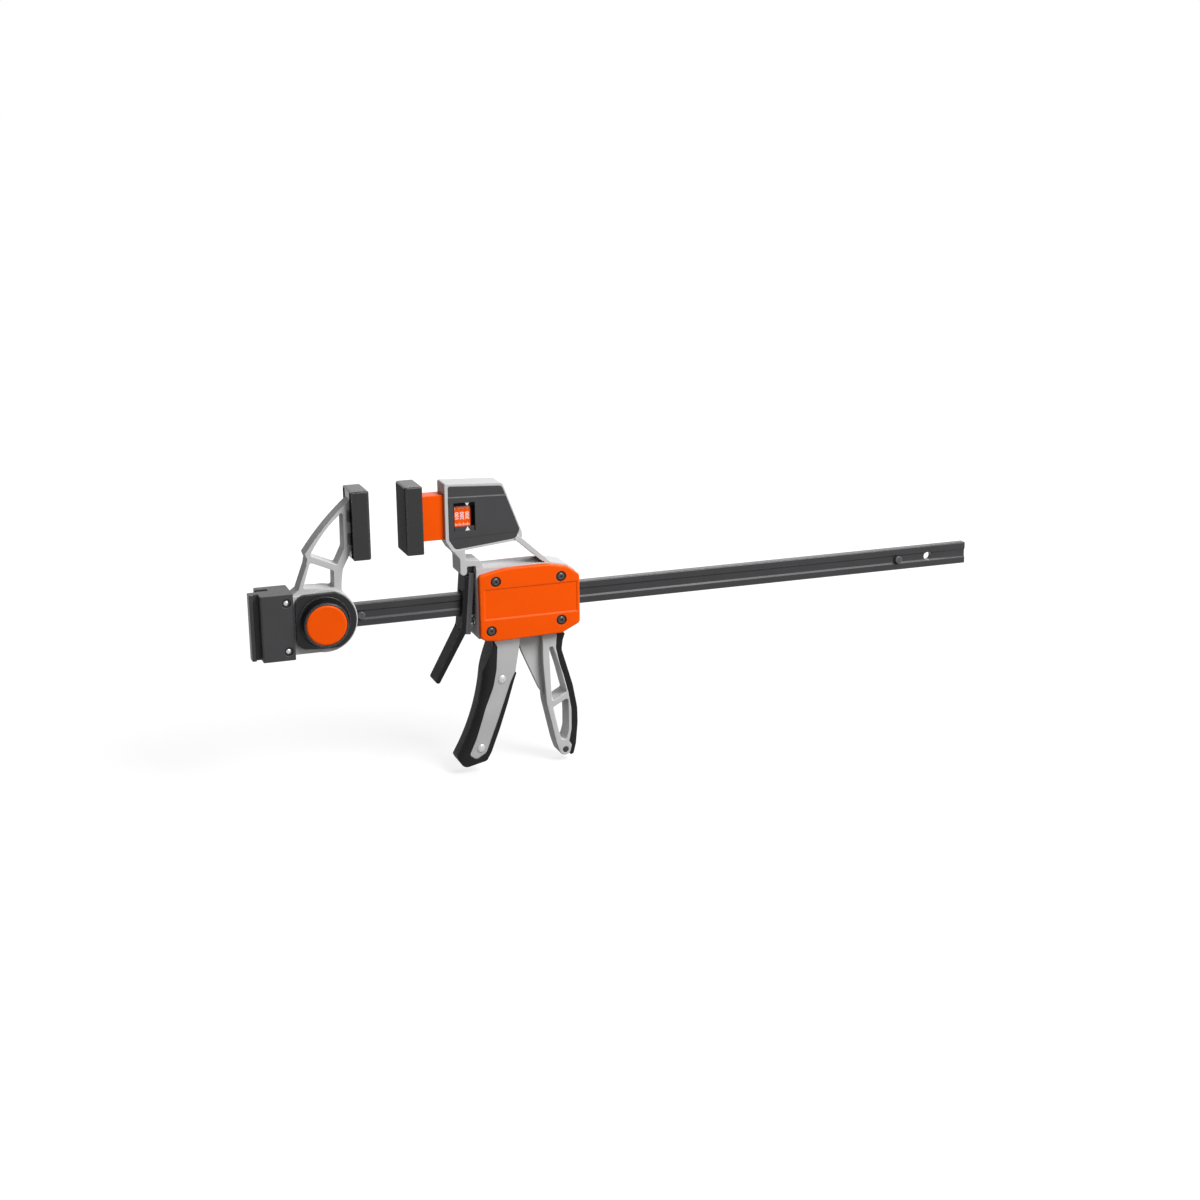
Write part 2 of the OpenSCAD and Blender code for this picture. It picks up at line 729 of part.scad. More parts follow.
module cover_screws() {
    seat = body_w / 2 + cover_t - 1.7;
    at_head() color(dark_steel) for (p = screw_places) both_sides() {
        difference() {
            union() {
                rod(p, screw_shank_r, -seat, -seat + 7.5);
                rod(p, screw_head_r, -seat - 1, -seat);
                cone(p, screw_head_r - 1.1, screw_head_r, -seat - 1.9, -seat - 1);
            }
            translate([p.x, -seat - 0.6, p.y]) rotate([90, 0, 0]) cylinder(h = 3, r = 1.3, $fn = 6);
        }
    }
}

// ---------------------------------------------------------------- handle

module handle_strip() {
    at_head() color(black) difference() {
        centred(outline([
            [91.6, -31.8, 0], [90.6, -44, 0], [94, -57.6, 0], [101, -84, 0],
            [103.4, -99, 0], [103.4, -117, 0], [101, -127.2, 0], [103, -131, 0],
            [100.6, -136, 0], [103.6, -139.4, 0.6], [106, -139, 2.5], [108.6, -130, 6],
            [110.4, -112, 40], [110.2, -98, 30], [106.6, -78, 30], [101.6, -60.6, 30],
            [97.3, -46, 8], [98.4, -38, 6], [100.6, -31.8, 1]
        ]), handle_w + 0.4);
        centred(outline(handle_corners()), handle_w + 2);
    }
}

module handle_pin() {
    at_head() color(black) rod(handle_pin_at, 2.4, -handle_w / 2 - 0.3, handle_w / 2 + 0.3);
}

// ---------------------------------------------------------------- pressure gauge

module moving_pad() {
    at_head() color(black) translate([-gauge_show - pad_t, 0, 0])
        pad_solid(0, pad_t, pad_t, gauge_w + 0.4);
}

module gauge_block() {
    stem_low = gauge_low + 7;
    stem_high = gauge_high - 6;
    slot_r = gauge_pin_r + fit;
    at_head() color(orange) difference() {
        union() {
            block([-gauge_show, -gauge_w / 2, gauge_low], [0.5, gauge_w / 2, gauge_high]);
            block([0.5, -gauge_w / 2, stem_low], [stem_end, gauge_w / 2, stem_high]);
        }
        rod([gauge_pin_x, jaw_z], slot_r, -housing_w, housing_w);
        rod([gauge_pin_x - gauge_travel, jaw_z], slot_r, -housing_w, housing_w);
        block([gauge_pin_x - gauge_travel, -housing_w, jaw_z - slot_r],
              [gauge_pin_x, housing_w, jaw_z + slot_r]);
    }
}

module gauge_pin() {
    at_head() color(steel)
        rod([gauge_pin_x, jaw_z], gauge_pin_r, -housing_w / 2 + panel_t, housing_w / 2 - panel_t);
}

module gauge_spring() {
    at_head() color(steel) translate([stem_end, 0, jaw_z]) rotate([0, 90, 0])
        spring(gauge_spring_end - stem_end, 4, 0.7, 3);
}

// ---------------------------------------------------------------- trigger

// Visible steel of a side plate, with its upper part inside the body
function trigger_plate_corners() = [
    [38.4, -33, 0], [41, -37.2, 3], [39.7, -57, 30], [36.7, -71.3, 30], [29.6, -88.7, 40],
    [21, -114.7, 20], [14.6, -128.4, 3], [20.4, -132.8, 4], [29.4, -127.6, 4],
    [41, -98, 60], [51.6, -69, 20], [56.2, -59.8, 6], [60.4, -36, 30], [63, 0, 30],
    [pivot_x + 6, pivot_z + hub_r, 5], [pivot_x - 6, pivot_z + hub_r, 5], [48.4, -4, 20],
    [44, -24, 20]
];

function grip_corners() = [
    [38, -32.6, 0], [37.1, -36.2, 3], [28.4, -59, 5], [26, -66, 0], [24, -84.9, 0],
    [12, -110, 0], [6, -125, 2], [4.9, -131, 5], [9.6, -139.2, 6],
    [29.6, -134.7, 4], [33.8, -127.1, 4], [41.4, -107.7, 60], [48.9, -85.8, 60],
    [54.6, -67.4, 20], [57, -60.3, 1], [54, -60.3, 0], [43.4, -36.4, 1], [41.4, -32.6, 0]
];

// The grip's front is a hollow curve about this place
front_centre = [-146.8, -38.9];
front_r = 176.5;

// A curved bar, rounded along its front, that the grip is cut from
module rounded_front(half) {
    translate([front_centre.x, 0, front_centre.y]) rotate([90, 0, 0])
        rotate_extrude($fn = 360) polygon(outline([
            [front_r, -half, 6.5], [front_r, half, 6.5],
            [front_r + 60, half, 0], [front_r + 60, -half, 0]
        ]));
}

// Space between the side plates that the handle's web swings into
function channel_corners() = [
    [42, -26, 0], [44.5, -50, 4], [48, -68, 20], [38, -98, 40], [30.6, -117, 3],
    [44, -117, 0], [70, -60, 0], [70, -26, 0]
];

rivet_places = [[44.4, -65.7], [24.9, -123.5]];
rivet_head_r = 3.7;

module trigger_plate(side) {
    outer = trigger_w / 2;
    at_head() color(silver) mirror([0, side > 0 ? 1 : 0, 0]) difference() {
        plate(outline(trigger_plate_corners()), -outer, -outer + plate_t);
        rod([pivot_x, pivot_z], pivot_r + fit, -outer - 1, 0);
        rod(cam_rivet_at(), 1.6, -outer - 1, 0);
        for (p = rivet_places) rod(p, 2, -outer - 1, 0);
    }
}

module trigger_plate_front() {
    trigger_plate(0);
}

module trigger_plate_back() {
    trigger_plate(1);
}

module trigger_grip() {
    half = trigger_w / 2 + 0.9;
    inner = trigger_w / 2 - plate_t;
    at_head() color(black) difference() {
        intersection() {
            centred(outline(grip_corners()), 2 * half + 2);
            rounded_front(half);
        }
        both_sides() plate(outline(trigger_plate_corners()), -half - 1, -inner);
        centred(outline(channel_corners()), 2 * inner - 2.4);
        for (p = rivet_places) rod(p, 2, -half, half);
    }
}

module trigger_rivets() {
    outer = trigger_w / 2;
    at_head() color(silver) for (p = rivet_places) {
        rod(p, 2, -outer, outer);
        both_sides() {
            rod(p, rivet_head_r, -outer - 0.5, -outer);
            cone(p, rivet_head_r - 1.4, rivet_head_r, -outer - 1.3, -outer - 0.5);
        }
    }
}

function cam_rivet_at() = [pivot_x - 3.6, bar_top + 4];

module trigger_cam() {
    half = trigger_w / 2 - plate_t;
    cheek = bar_t / 2 + 0.6;
    at_head() color(steel) difference() {
        union() {
            rod([pivot_x, pivot_z], hub_r, -half, half);
            rod([pivot_x, 0], cam_nose_r, -half, half);
            centred([
                [pivot_x - hub_r, pivot_z], [pivot_x - hub_r - 0.8, bar_top],
                [pivot_x - cam_nose_r, 0], [pivot_x + cam_nose_r, 0],
                [pivot_x + cam_nose_r, bar_top + 6], [pivot_x + hub_r - 0.6, pivot_z - 2]
            ], 2 * half);
        }
        block([0, -cheek, -bar_h], [100, cheek, bar_top + 1.2]);
        rod([pivot_x, pivot_z], pivot_r + fit, -half - 1, half + 1);
        rod(cam_rivet_at(), 1.6, -half - 1, half + 1);
    }
}

module cam_rivet() {
    at_head() color(steel) rod(cam_rivet_at(), 1.6, -trigger_w / 2, trigger_w / 2);
}

module pivot_pin() {
    at_head() color(steel) rod([pivot_x, pivot_z], pivot_r, -body_w / 2, body_w / 2);
}

// ---------------------------------------------------------------- drive and brake

module drive_plates() {
    half = trigger_w / 2 - plate_t - 0.3;
    at_head() color(steel) for (i = [0, 1])
        translate([drive_x + i * (drive_plate_t + drive_plate_gap), 0, 0]) difference() {
            block([0, -half, spring_z - 4.8], [drive_plate_t, half, bar_top + 4.6]);
            bar_way(-1, drive_plate_t + 1, 0.2);
        }
}

module drive_spring() {
    start = drive_x + 2 * drive_plate_t + drive_plate_gap;
    at_head() color(steel) translate([start, 0, spring_z]) rotate([0, 90, 0])
        spring(cavity_right + 2 - start, 3.6, 0.6, 7);
}

// Turns a lever piece, drawn upright, to the lean at which it grips the bar
module leaning() {
    translate([lever_pivot.x, 0, lever_pivot.y]) rotate([0, lever_lean, 0])
        translate([-lever_pivot.x, 0, -lever_pivot.y]) children();
}

module lever_slot() {
    block([-20, -bar_t / 2 - 0.5, -bar_h / 2 - 1.2], [60, bar_t / 2 + 0.5, bar_h / 2 + 1]);
}

lever_left = lever_pivot.x - lever_face;
lever_top = bar_top + 15;
lever_bottom = -24.6;
lever_rivet_z = -20;

module release_lever() {
    left = lever_left;
    right = lever_left + lever_t;
    at_head() color(black) leaning() difference() {
        centred(outline([
            [left, lever_top, 1], [left, -19.6, 14], [left - 19.9, -64.8, 1.9],
            [left - 16.1, -66.6, 1.9], [right, lever_bottom + 0.8, 4], [right, lever_top, 0.6]
        ]), lever_w);
        lever_slot();
        rod_x([left, lever_rivet_z], 1.5, lever_t + 2);
    }
}

// A round bar along X from a place in XZ, on both sides of the middle plane
module rod_x(place, r, length) {
    both_sides() translate([place.x - 1, 5.6, place.y]) rotate([0, 90, 0])
        cylinder(h = length, r = r);
}

module brake_plates() {
    at_head() color(steel) leaning() for (i = [0, 1])
        translate([lever_left + lever_t + 0.05 + i * (brake_t + 0.05), 0, 0]) difference() {
            block([0, -lever_w / 2 + 0.4, lever_bottom],
                  [brake_t, lever_w / 2 - 0.4, lever_pivot.y + 1.4]);
            both_sides() block([-1, lever_w / 2 - 0.4 - brake_neck, lever_top + 2.6],
                               [brake_t + 1, lever_w, lever_pivot.y + 2]);
            translate([-lever_left, 0, 0]) lever_slot();
            rod_x([-1, lever_rivet_z], 1.5, brake_t + 4);
        }
}

module lever_rivets() {
    at_head() color(steel) leaning() translate([1, 0, 0])
        rod_x([lever_left, lever_rivet_z], 1.5, lever_t + 2 * brake_t + 0.1);
}

module brake_spring() {
    plate_back = lever_left + lever_t + 2 * brake_t + 0.1;
    start = plate_back - (lever_pivot.y - spring_z) * tan(lever_lean);
    at_head() color(steel) translate([start + 0.4, 0, spring_z]) rotate([0, 90, 0])
        spring(body_left + 3.5 - start - 0.4, 3.2, 0.45, 3);
}

// ---------------------------------------------------------------- output

bar();
stop_pins();
fixed_jaw();
fixed_pad();
end_coupler();
coupler_screws();
knob_plate();
plate_screws();
knob();
knob_disc();
lock_pin();
knob_spring();
head_casting();
handle();
housing_panel_front();
housing_panel_back();
side_cover_front();
side_cover_back();
cover_screws();
handle_strip();
handle_pin();
moving_pad();
gauge_block();
gauge_pin();
gauge_spring();
trigger_plate_front();
trigger_plate_back();
trigger_grip();
trigger_rivets();
trigger_cam();
cam_rivet();
pivot_pin();
drive_plates();
drive_spring();
release_lever();
brake_plates();
lever_rivets();
brake_spring();
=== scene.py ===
"""Looks of a quick release bar clamp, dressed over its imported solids.

Sizes in the dataclasses are millimetres in the clamp's own frame: the origin is the
centre of the fixed jaw's clamping face, +X runs along the bar towards the head, +Y is
towards the back and +Z is up. Meshes are made in metres.
"""

import logging
import math
from collections.abc import Callable, Iterable
from dataclasses import dataclass
from enum import Enum

import bmesh
import bpy
import numpy as np
from mathutils import Matrix, Vector


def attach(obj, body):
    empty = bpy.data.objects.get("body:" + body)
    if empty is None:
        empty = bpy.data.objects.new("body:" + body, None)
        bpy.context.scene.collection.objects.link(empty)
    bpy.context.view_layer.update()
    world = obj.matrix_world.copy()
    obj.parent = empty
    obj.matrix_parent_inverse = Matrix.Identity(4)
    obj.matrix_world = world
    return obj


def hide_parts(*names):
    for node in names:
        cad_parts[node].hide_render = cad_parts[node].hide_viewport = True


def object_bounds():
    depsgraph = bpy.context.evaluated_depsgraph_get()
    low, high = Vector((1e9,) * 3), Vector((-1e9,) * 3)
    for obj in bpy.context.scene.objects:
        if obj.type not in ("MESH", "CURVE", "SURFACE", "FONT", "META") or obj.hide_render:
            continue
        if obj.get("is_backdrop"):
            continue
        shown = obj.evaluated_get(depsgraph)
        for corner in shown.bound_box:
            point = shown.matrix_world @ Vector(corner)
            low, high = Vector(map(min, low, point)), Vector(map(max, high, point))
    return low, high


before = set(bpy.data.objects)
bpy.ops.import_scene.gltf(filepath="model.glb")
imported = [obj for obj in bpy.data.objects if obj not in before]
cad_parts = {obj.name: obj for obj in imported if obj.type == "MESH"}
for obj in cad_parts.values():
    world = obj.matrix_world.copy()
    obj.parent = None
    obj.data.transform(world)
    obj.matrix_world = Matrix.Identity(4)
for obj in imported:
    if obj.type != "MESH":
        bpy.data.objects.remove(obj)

logging.basicConfig(level=logging.INFO, format="%(message)s")
LOG = logging.getLogger("clamp")

MM = 0.001
HEAD_X = 62.0
BAR_Z = -75.4

# How close counts as at a place, in millimetres, and how nearly a face points along an axis
NEAR = 0.05
FACING = 0.9
# Corners of a solid nearer than this are one, in metres, and edges flatter than this go, in degrees
WELD = 0.000003
FLAT_ANGLE = 0.5
# How far a corner may be out of a flat region's plane, in metres
FLATNESS = 2e-6
# Faces are folded when their normals' product is below this and both are larger, in square metres
FOLD_FACING = -0.7
FOLD_AREA = 3e-10
# What is left of a width near a fold at each new try, and how near that is: widths, millimetres
NARROWING = (0.6, 0.6, 0.5, 0.4, 0.0)
FOLD_REACH = (1.3, 0.3)
# Rounding at the ends of a pin's shank, in millimetres
SHANK_EDGE = 0.15

Triple = tuple[float, float, float]
Colour = Triple
Span = tuple[float, float]
Object = bpy.types.Object
Socket = bpy.types.NodeSocket
Mesh = bpy.types.Mesh
Face = bmesh.types.BMFace


class Body(Enum):
    """The clamp's bodies that new pieces ride on."""

    FRAME = "frame"
    KNOB = "jaw_knob"
    HEAD = "head"
    GAUGE = "gauge"
    TRIGGER = "trigger"
    RELEASE = "release"


class Slot(Enum):
    """The kinds of material that each finish is listed under."""

    DARK_STEEL = "dark_steel"
    BRIGHT_STEEL = "bright_steel"
    SATIN_STEEL = "satin_steel"
    CAST_SILVER = "cast_silver"
    BLACK_PLASTIC = "black_plastic"
    BLACK_PAD = "black_pad"
    BLACK_RUBBER = "black_rubber"
    ORANGE_PLASTIC = "orange_plastic"
    DARK_SCREW = "dark_screw"


class Grain(Enum):
    """The kind of fine relief that a finish carries."""

    CLOUDY = "cloudy"
    STIPPLED = "stippled"


class Side(Enum):
    """The two faces of the clamp, as the sign of Y."""

    FRONT = -1
    BACK = 1

    @property
    def word(self) -> str:
        """The side's word in the pieces' names."""
        return self.name.lower()

    def depths(self, near: float, far: float) -> Span:
        """Puts two distances from the middle plane on this side, the lower Y first."""
        return tuple(sorted((self.value * near, self.value * far)))


# ---------------------------------------------------------------- finishes


class ShaderSheet:
    """The node tree of a material or world, with the few moves that every finish makes on it."""

    def __init__(self, owner: bpy.types.Material | bpy.types.World) -> None:
        """Starts an empty node tree.

        Args:
            owner: The material or world that it belongs to.
        """
        self.owner = owner
        owner.use_nodes = True
        self.tree = owner.node_tree
        self.tree.nodes.clear()

    def node(self, kind: str, **settings: object) -> bpy.types.Node:
        """Adds a node and sets its own properties.

        Args:
            kind: The node's type name.
            settings: Properties of the node.

        Returns:
            The new node.
        """
        made = self.tree.nodes.new(kind)
        for key, value in settings.items():
            setattr(made, key, value)
        return made

    def link(self, start: Socket, end: Socket) -> None:
        """Joins an output to an input."""
        self.tree.links.new(start, end)

    def noise(self, place: Socket, scale: float, detail: float) -> Socket:
        """Adds a noise pattern.

        Args:
            place: The coordinates that it reads.
            scale: Its scale, in patches to the metre.
            detail: How many finer layers it has.

        Returns:
            The pattern's value, round 0.5.
        """
        made = self.node("ShaderNodeTexNoise")
        made.inputs["Scale"].default_value = scale
        made.inputs["Detail"].default_value = detail
        self.link(place, made.inputs["Vector"])
        return made.outputs["Fac"]

    def spread(self, value: Socket, low: float, high: float,
               to_low: float, to_high: float) -> Socket:
        """Maps a value from one range to another.

        Args:
            value: The value.
            low: Lower end of its range.
            high: Upper end of its range.
            to_low: What the lower end becomes.
            to_high: What the upper end becomes.

        Returns:
            The mapped value.
        """
        made = self.node("ShaderNodeMapRange")
        ends = {"From Min": low, "From Max": high, "To Min": to_low, "To Max": to_high}
        for name, number in ends.items():
            made.inputs[name].default_value = number
        self.link(value, made.inputs["Value"])
        return made.outputs["Result"]

    def combined(self, operation: str, first: Socket, second: Socket) -> Socket:
        """Joins two patterns by one step of arithmetic.

        Args:
            operation: The step, as the node names it.
            first: One pattern.
            second: The other pattern.

        Returns:
            What comes out.
        """
        made = self.node("ShaderNodeMath", operation=operation)
        self.link(first, made.inputs[0])
        self.link(second, made.inputs[1])
        return made.outputs[0]

    def times(self, first: Socket, second: Socket) -> Socket:
        """Multiplies two patterns."""
        return self.combined("MULTIPLY", first, second)

    def added(self, first: Socket, second: Socket) -> Socket:
        """Adds two patterns."""
        return self.combined("ADD", first, second)

    def blended(self, amount: Socket, first: Colour | Socket,
                second: Colour | Socket) -> Socket:
        """Mixes two colours by a pattern.

        Args:
            amount: The pattern, 0 for the first colour and 1 for the second.
            first: A colour or a colour output.
            second: A colour or a colour output.

        Returns:
            The mixed colour.
        """
        made = self.node("ShaderNodeMix", data_type="RGBA")
        self.link(amount, made.inputs["Factor"])
        for socket, colour in ((made.inputs[6], first), (made.inputs[7], second)):
            if isinstance(colour, Socket):
                self.link(colour, socket)
            else:
                socket.default_value = (*colour, 1.0)
        return made.outputs[2]


def scaled(colour: Colour, factor: float) -> Colour:
    """Multiplies a linear colour by a factor, up to white."""
    return tuple(min(1.0, part * factor) for part in colour)


@dataclass(frozen=True)
class Finish:
    """A surface finish: its colour, gloss, fine relief, and the lighter colour along its edges,
    which is part wear and part painted highlight.
    """

    name: str
    slot: Slot
    colour: Colour
    # Lighter colour of rounded edges and dome tops: part wear, part painted highlight
    rubbed: Colour
    roughness: float
    metallic: float = 0.0
    specular: float = 0.5
    grain: float = 1500.0
    grain_kind: Grain = Grain.CLOUDY
    stretch: Triple = (1.0, 1.0, 1.0)
    relief: float = 0.03
    mottle: float = 0.08
    # How strongly that lighter edge colour of wear and painted highlight shows
    wear: float = 0.5
    rough_swing: float = 0.06
    clamping_rough: float = 0.0
    broad_scale: float = 38.0
    middle_share: float = 0.22
    least_wear: float = 0.25
    bump: float = 0.6

    def relief_pattern(self, sheet: ShaderSheet, place: Socket) -> Socket:
        """Adds the fine relief that the finish is known by.

        Args:
            sheet: The material's node tree.
            place: The coordinates.

        Returns:
            The height of the relief.
        """
        if self.grain_kind is Grain.CLOUDY:
            return sheet.noise(place, self.grain, 5.0)
        cells = sheet.node("ShaderNodeTexVoronoi", feature="SMOOTH_F1")
        cells.inputs["Scale"].default_value = self.grain
        cells.inputs["Smoothness"].default_value = 0.6
        sheet.link(place, cells.inputs["Vector"])
        return cells.outputs["Distance"]

    def material(self) -> bpy.types.Material:
        """Makes the finish's material, once.

        Returns:
            The material.
        """
        known = bpy.data.materials.get(self.name)
        if known is not None:
            return known
        sheet = ShaderSheet(bpy.data.materials.new(self.name))
        coordinates = sheet.node("ShaderNodeTexCoord").outputs["Object"]
        mapping = sheet.node("ShaderNodeMapping")
        mapping.inputs["Scale"].default_value = self.stretch
        sheet.link(coordinates, mapping.inputs["Vector"])
        place = mapping.outputs["Vector"]

        fine = self.relief_pattern(sheet, place)
        broad = sheet.noise(coordinates, self.broad_scale, 3.0)
        middle = sheet.noise(place, self.grain * self.middle_share, 4.0)

        shade = sheet.added(sheet.spread(fine, 0.2, 0.8, 0.0, 0.45),
                            sheet.spread(broad, 0.3, 0.7, 0.0, 0.55))
        tones = [scaled(self.colour, 1 + shift) for shift in (-self.mottle, self.mottle)]
        tone = sheet.blended(shade, *tones)

        # Painted highlight and wear: rounded edges and dome tops are mixed towards the lighter edge
        # colour
        edge = sheet.node("ShaderNodeAttribute", attribute_name="rubbed").outputs["Fac"]
        patchy = sheet.spread(middle, 0.38, 0.66, self.least_wear * self.wear, self.wear)
        worn_and_lit = sheet.times(edge, patchy)
        colour = sheet.blended(worn_and_lit, tone, self.rubbed)

        shader = sheet.node("ShaderNodeBsdfPrincipled")
        sheet.link(colour, shader.inputs["Base Color"])
        swings = (self.roughness + swing for swing in (-self.rough_swing, self.rough_swing))
        rough = sheet.spread(middle, 0.3, 0.7, *swings)
        if self.clamping_rough:
            clamping = sheet.node("ShaderNodeAttribute", attribute_name="clamping").outputs["Fac"]
            rough = sheet.added(rough, sheet.spread(clamping, 0.0, 1.0, 0.0, self.clamping_rough))
        sheet.link(rough, shader.inputs["Roughness"])
        shader.inputs["Metallic"].default_value = self.metallic
        shader.inputs["Specular IOR Level"].default_value = self.specular

        bump = sheet.node("ShaderNodeBump")
        bump.inputs["Strength"].default_value = self.bump
        bump.inputs["Distance"].default_value = self.relief * MM
        height = sheet.added(fine, sheet.spread(middle, 0.0, 1.0, 0.0, 0.6))
        sheet.link(height, bump.inputs["Height"])
        sheet.link(bump.outputs["Normal"], shader.inputs["Normal"])

        out = sheet.node("ShaderNodeOutputMaterial")
        sheet.link(shader.outputs["BSDF"], out.inputs["Surface"])
        return sheet.owner


# The second colour of each finish is its lighter edge colour: part wear, part painted highlight
BAR_STEEL = Finish(
    "bar_black_oxide", Slot.DARK_STEEL, (0.036, 0.036, 0.038), (0.17, 0.17, 0.18), 0.36,
    metallic=0.15, specular=0.26, grain=900.0, stretch=(0.04, 1.0, 1.0), relief=0.02, mottle=0.16,
    wear=0.7,
)
PLATE_STEEL = Finish(
    "plate_black_oxide", Slot.DARK_STEEL, (0.072, 0.072, 0.077), (0.24, 0.24, 0.25), 0.42,
    metallic=0.2, specular=0.3, grain=1100.0, relief=0.03, mottle=0.18, wear=0.6,
)
ZINC_STEEL = Finish(
    "zinc_plate", Slot.BRIGHT_STEEL, (0.44, 0.44, 0.44), (0.70, 0.70, 0.70), 0.24,
    metallic=0.9, grain=1600.0, relief=0.012, mottle=0.08, wear=0.5,
)
TRIGGER_STEEL = Finish(
    "stamped_sheet_steel", Slot.SATIN_STEEL, (0.43, 0.43, 0.43), (0.62, 0.62, 0.62), 0.40,
    metallic=0.25, specular=0.4, grain=2300.0, relief=0.030, mottle=0.10, wear=0.6,
)
RIVET_STEEL = Finish(
    "rivet_steel", Slot.BRIGHT_STEEL, (0.50, 0.50, 0.50), (0.72, 0.72, 0.72), 0.30,
    metallic=0.55, grain=1600.0, relief=0.015, mottle=0.08, wear=0.5,
)
CAST_PAINT = Finish(
    "silver_cast_paint", Slot.CAST_SILVER, (0.54, 0.54, 0.54), (0.76, 0.76, 0.76), 0.52,
    specular=0.07, grain=1900.0, relief=0.05, mottle=0.05, wear=0.6,
)
MOULDED_BLACK = Finish(
    "glass_filled_plastic", Slot.BLACK_PLASTIC, (0.032, 0.032, 0.034), (0.16, 0.16, 0.163), 0.44,
    specular=0.36, grain=2100.0, grain_kind=Grain.STIPPLED, relief=0.06, mottle=0.14, wear=0.55,
)
KNOB_BLACK = Finish(
    "knob_plastic", Slot.BLACK_PLASTIC, (0.009, 0.009, 0.010), (0.15, 0.15, 0.153), 0.30,
    specular=0.28, grain=2100.0, grain_kind=Grain.STIPPLED, relief=0.02, mottle=0.14, wear=0.6,
)
PAD_BLACK = Finish(
    "firm_pad", Slot.BLACK_PAD, (0.007, 0.007, 0.0075), (0.055, 0.055, 0.056), 0.25,
    specular=0.42, grain=2500.0, grain_kind=Grain.STIPPLED, relief=0.008, mottle=0.14, wear=0.6,
    clamping_rough=0.6,
)
LEVER_BLACK = Finish(
    "lever_plastic", Slot.BLACK_PLASTIC, (0.011, 0.011, 0.012), (0.10, 0.10, 0.103), 0.62,
    specular=0.10, grain=2100.0, grain_kind=Grain.STIPPLED, relief=0.05, mottle=0.14, wear=0.6,
)
GRIP_RUBBER = Finish(
    "grip_rubber", Slot.BLACK_RUBBER, (0.014, 0.014, 0.015), (0.085, 0.085, 0.087), 0.60,
    specular=0.13, grain=1500.0, grain_kind=Grain.STIPPLED, relief=0.08, mottle=0.22, wear=0.45,
)
ORANGE_GLOSS = Finish(
    "orange_moulding", Slot.ORANGE_PLASTIC, (0.93, 0.094, 0.0005), (0.97, 0.19, 0.02), 0.30,
    specular=0.08, grain=2600.0, relief=0.012, mottle=0.035, wear=0.5, rough_swing=0.04,
)
SCREW_BLACK = Finish(
    "black_oxide_screw", Slot.DARK_SCREW, (0.040, 0.037, 0.036), (0.22, 0.21, 0.21), 0.28,
    metallic=0.3, specular=0.5, grain=1700.0, relief=0.02, mottle=0.15, wear=0.6,
)
# Painted shadow: near-black for the shaded ledge round the gauge windows, also worn by the scale's
# end plates
PAINTED_SHADOW_BLACK = Finish(
    "window_shade", Slot.BLACK_PLASTIC, (0.004, 0.004, 0.004), (0.03, 0.03, 0.03), 0.75,
    specular=0.05, grain=2100.0, relief=0.02, mottle=0.14, wear=0.3,
)
SCALE_WHITE = Finish(
    "scale_white", Slot.ORANGE_PLASTIC, (0.84, 0.84, 0.82), (0.90, 0.90, 0.90), 0.45,
    specular=0.2, grain=2200.0, relief=0.008, mottle=0.04, wear=0.2,
)


# ---------------------------------------------------------------- bench work


def pick(*objects: Object) -> None:
    """Goes to object mode with only some objects selected.

    Args:
        objects: The objects. The first of them is made active.
    """
    if bpy.context.mode != "OBJECT":
        bpy.ops.object.mode_set(mode="OBJECT")
    bpy.ops.object.select_all(action="DESELECT")
    for one in objects:
        one.select_set(True)
    bpy.context.view_layer.objects.active = objects[0]


def apply_modifier(piece: Object, kind: str, **settings: object) -> None:
    """Adds a modifier and applies it at once.

    Args:
        piece: The object.
        kind: The modifier's type.
        settings: The modifier's properties.
    """
    pick(piece)
    modifier = piece.modifiers.new(kind.lower(), kind)
    for key, value in settings.items():
        setattr(modifier, key, value)
    bpy.ops.object.modifier_apply(modifier=modifier.name)


def settle(piece: Object) -> None:
    """Moves a piece's place, turn and scale into its mesh."""
    pick(piece)
    bpy.ops.object.transform_apply(location=True, rotation=True, scale=True)


def smooth(piece: Object, angle: float = 40.0) -> None:
    """Shades a piece smooth up to an angle, with its normals led by the large faces.

    Args:
        piece: The object.
        angle: Steepest edge that is shaded smooth, in degrees.
    """
    pick(piece)
    bpy.ops.object.shade_smooth_by_angle(angle=math.radians(angle))
    apply_modifier(piece, "WEIGHTED_NORMAL", mode="FACE_AREA", weight=50, keep_sharp=True)


def dress(piece: Object, finish: Finish, body: Body, *nodes: str) -> Object:
    """Gives a piece its finish, hangs it on the body that it rides on and hides the solids that it
    is shown in place of.

    Args:
        piece: The finished mesh.
        finish: Its surface finish.
        body: The body that it moves with.
        nodes: The solids that it is shown in place of.

    Returns:
        The piece.
    """
    piece.data.materials.clear()
    piece.data.materials.append(finish.material())
    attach(piece, body.value)
    if nodes:
        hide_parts(*nodes)
    LOG.info("%s: %d faces, %s", piece.name, len(piece.data.polygons), finish.name)
    return piece


def redress(finish: Finish, *nodes: str) -> None:
    """Gives solids that are shown as they are their finish.

    Args:
        finish: The surface finish.
        nodes: The solids' names.
    """
    for node in nodes:
        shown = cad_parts[node]
        if not shown.material_slots:
            shown.data.materials.append(finish.material())
        for place in shown.material_slots:
            place.material = finish.material()
        LOG.info("%s: kept, %s", node, finish.name)


@dataclass(frozen=True)
class Brink:
    """A sharp outer edge of a solid, in millimetres."""

    start: Vector
    end: Vector

    @property
    def middle(self) -> Vector:
        """The edge's middle."""
        return (self.start + self.end) / 2

    @property
    def length(self) -> float:
        """The edge's length."""
        return (self.end - self.start).length

    def lies_at(self, axis: int, place: float) -> bool:
        """Tells if both ends lie at one place along an axis, 0 to 2 for X to Z."""
        return all(abs(end[axis] - place) < NEAR for end in (self.start, self.end))


Rounding = Callable[[Brink], float]


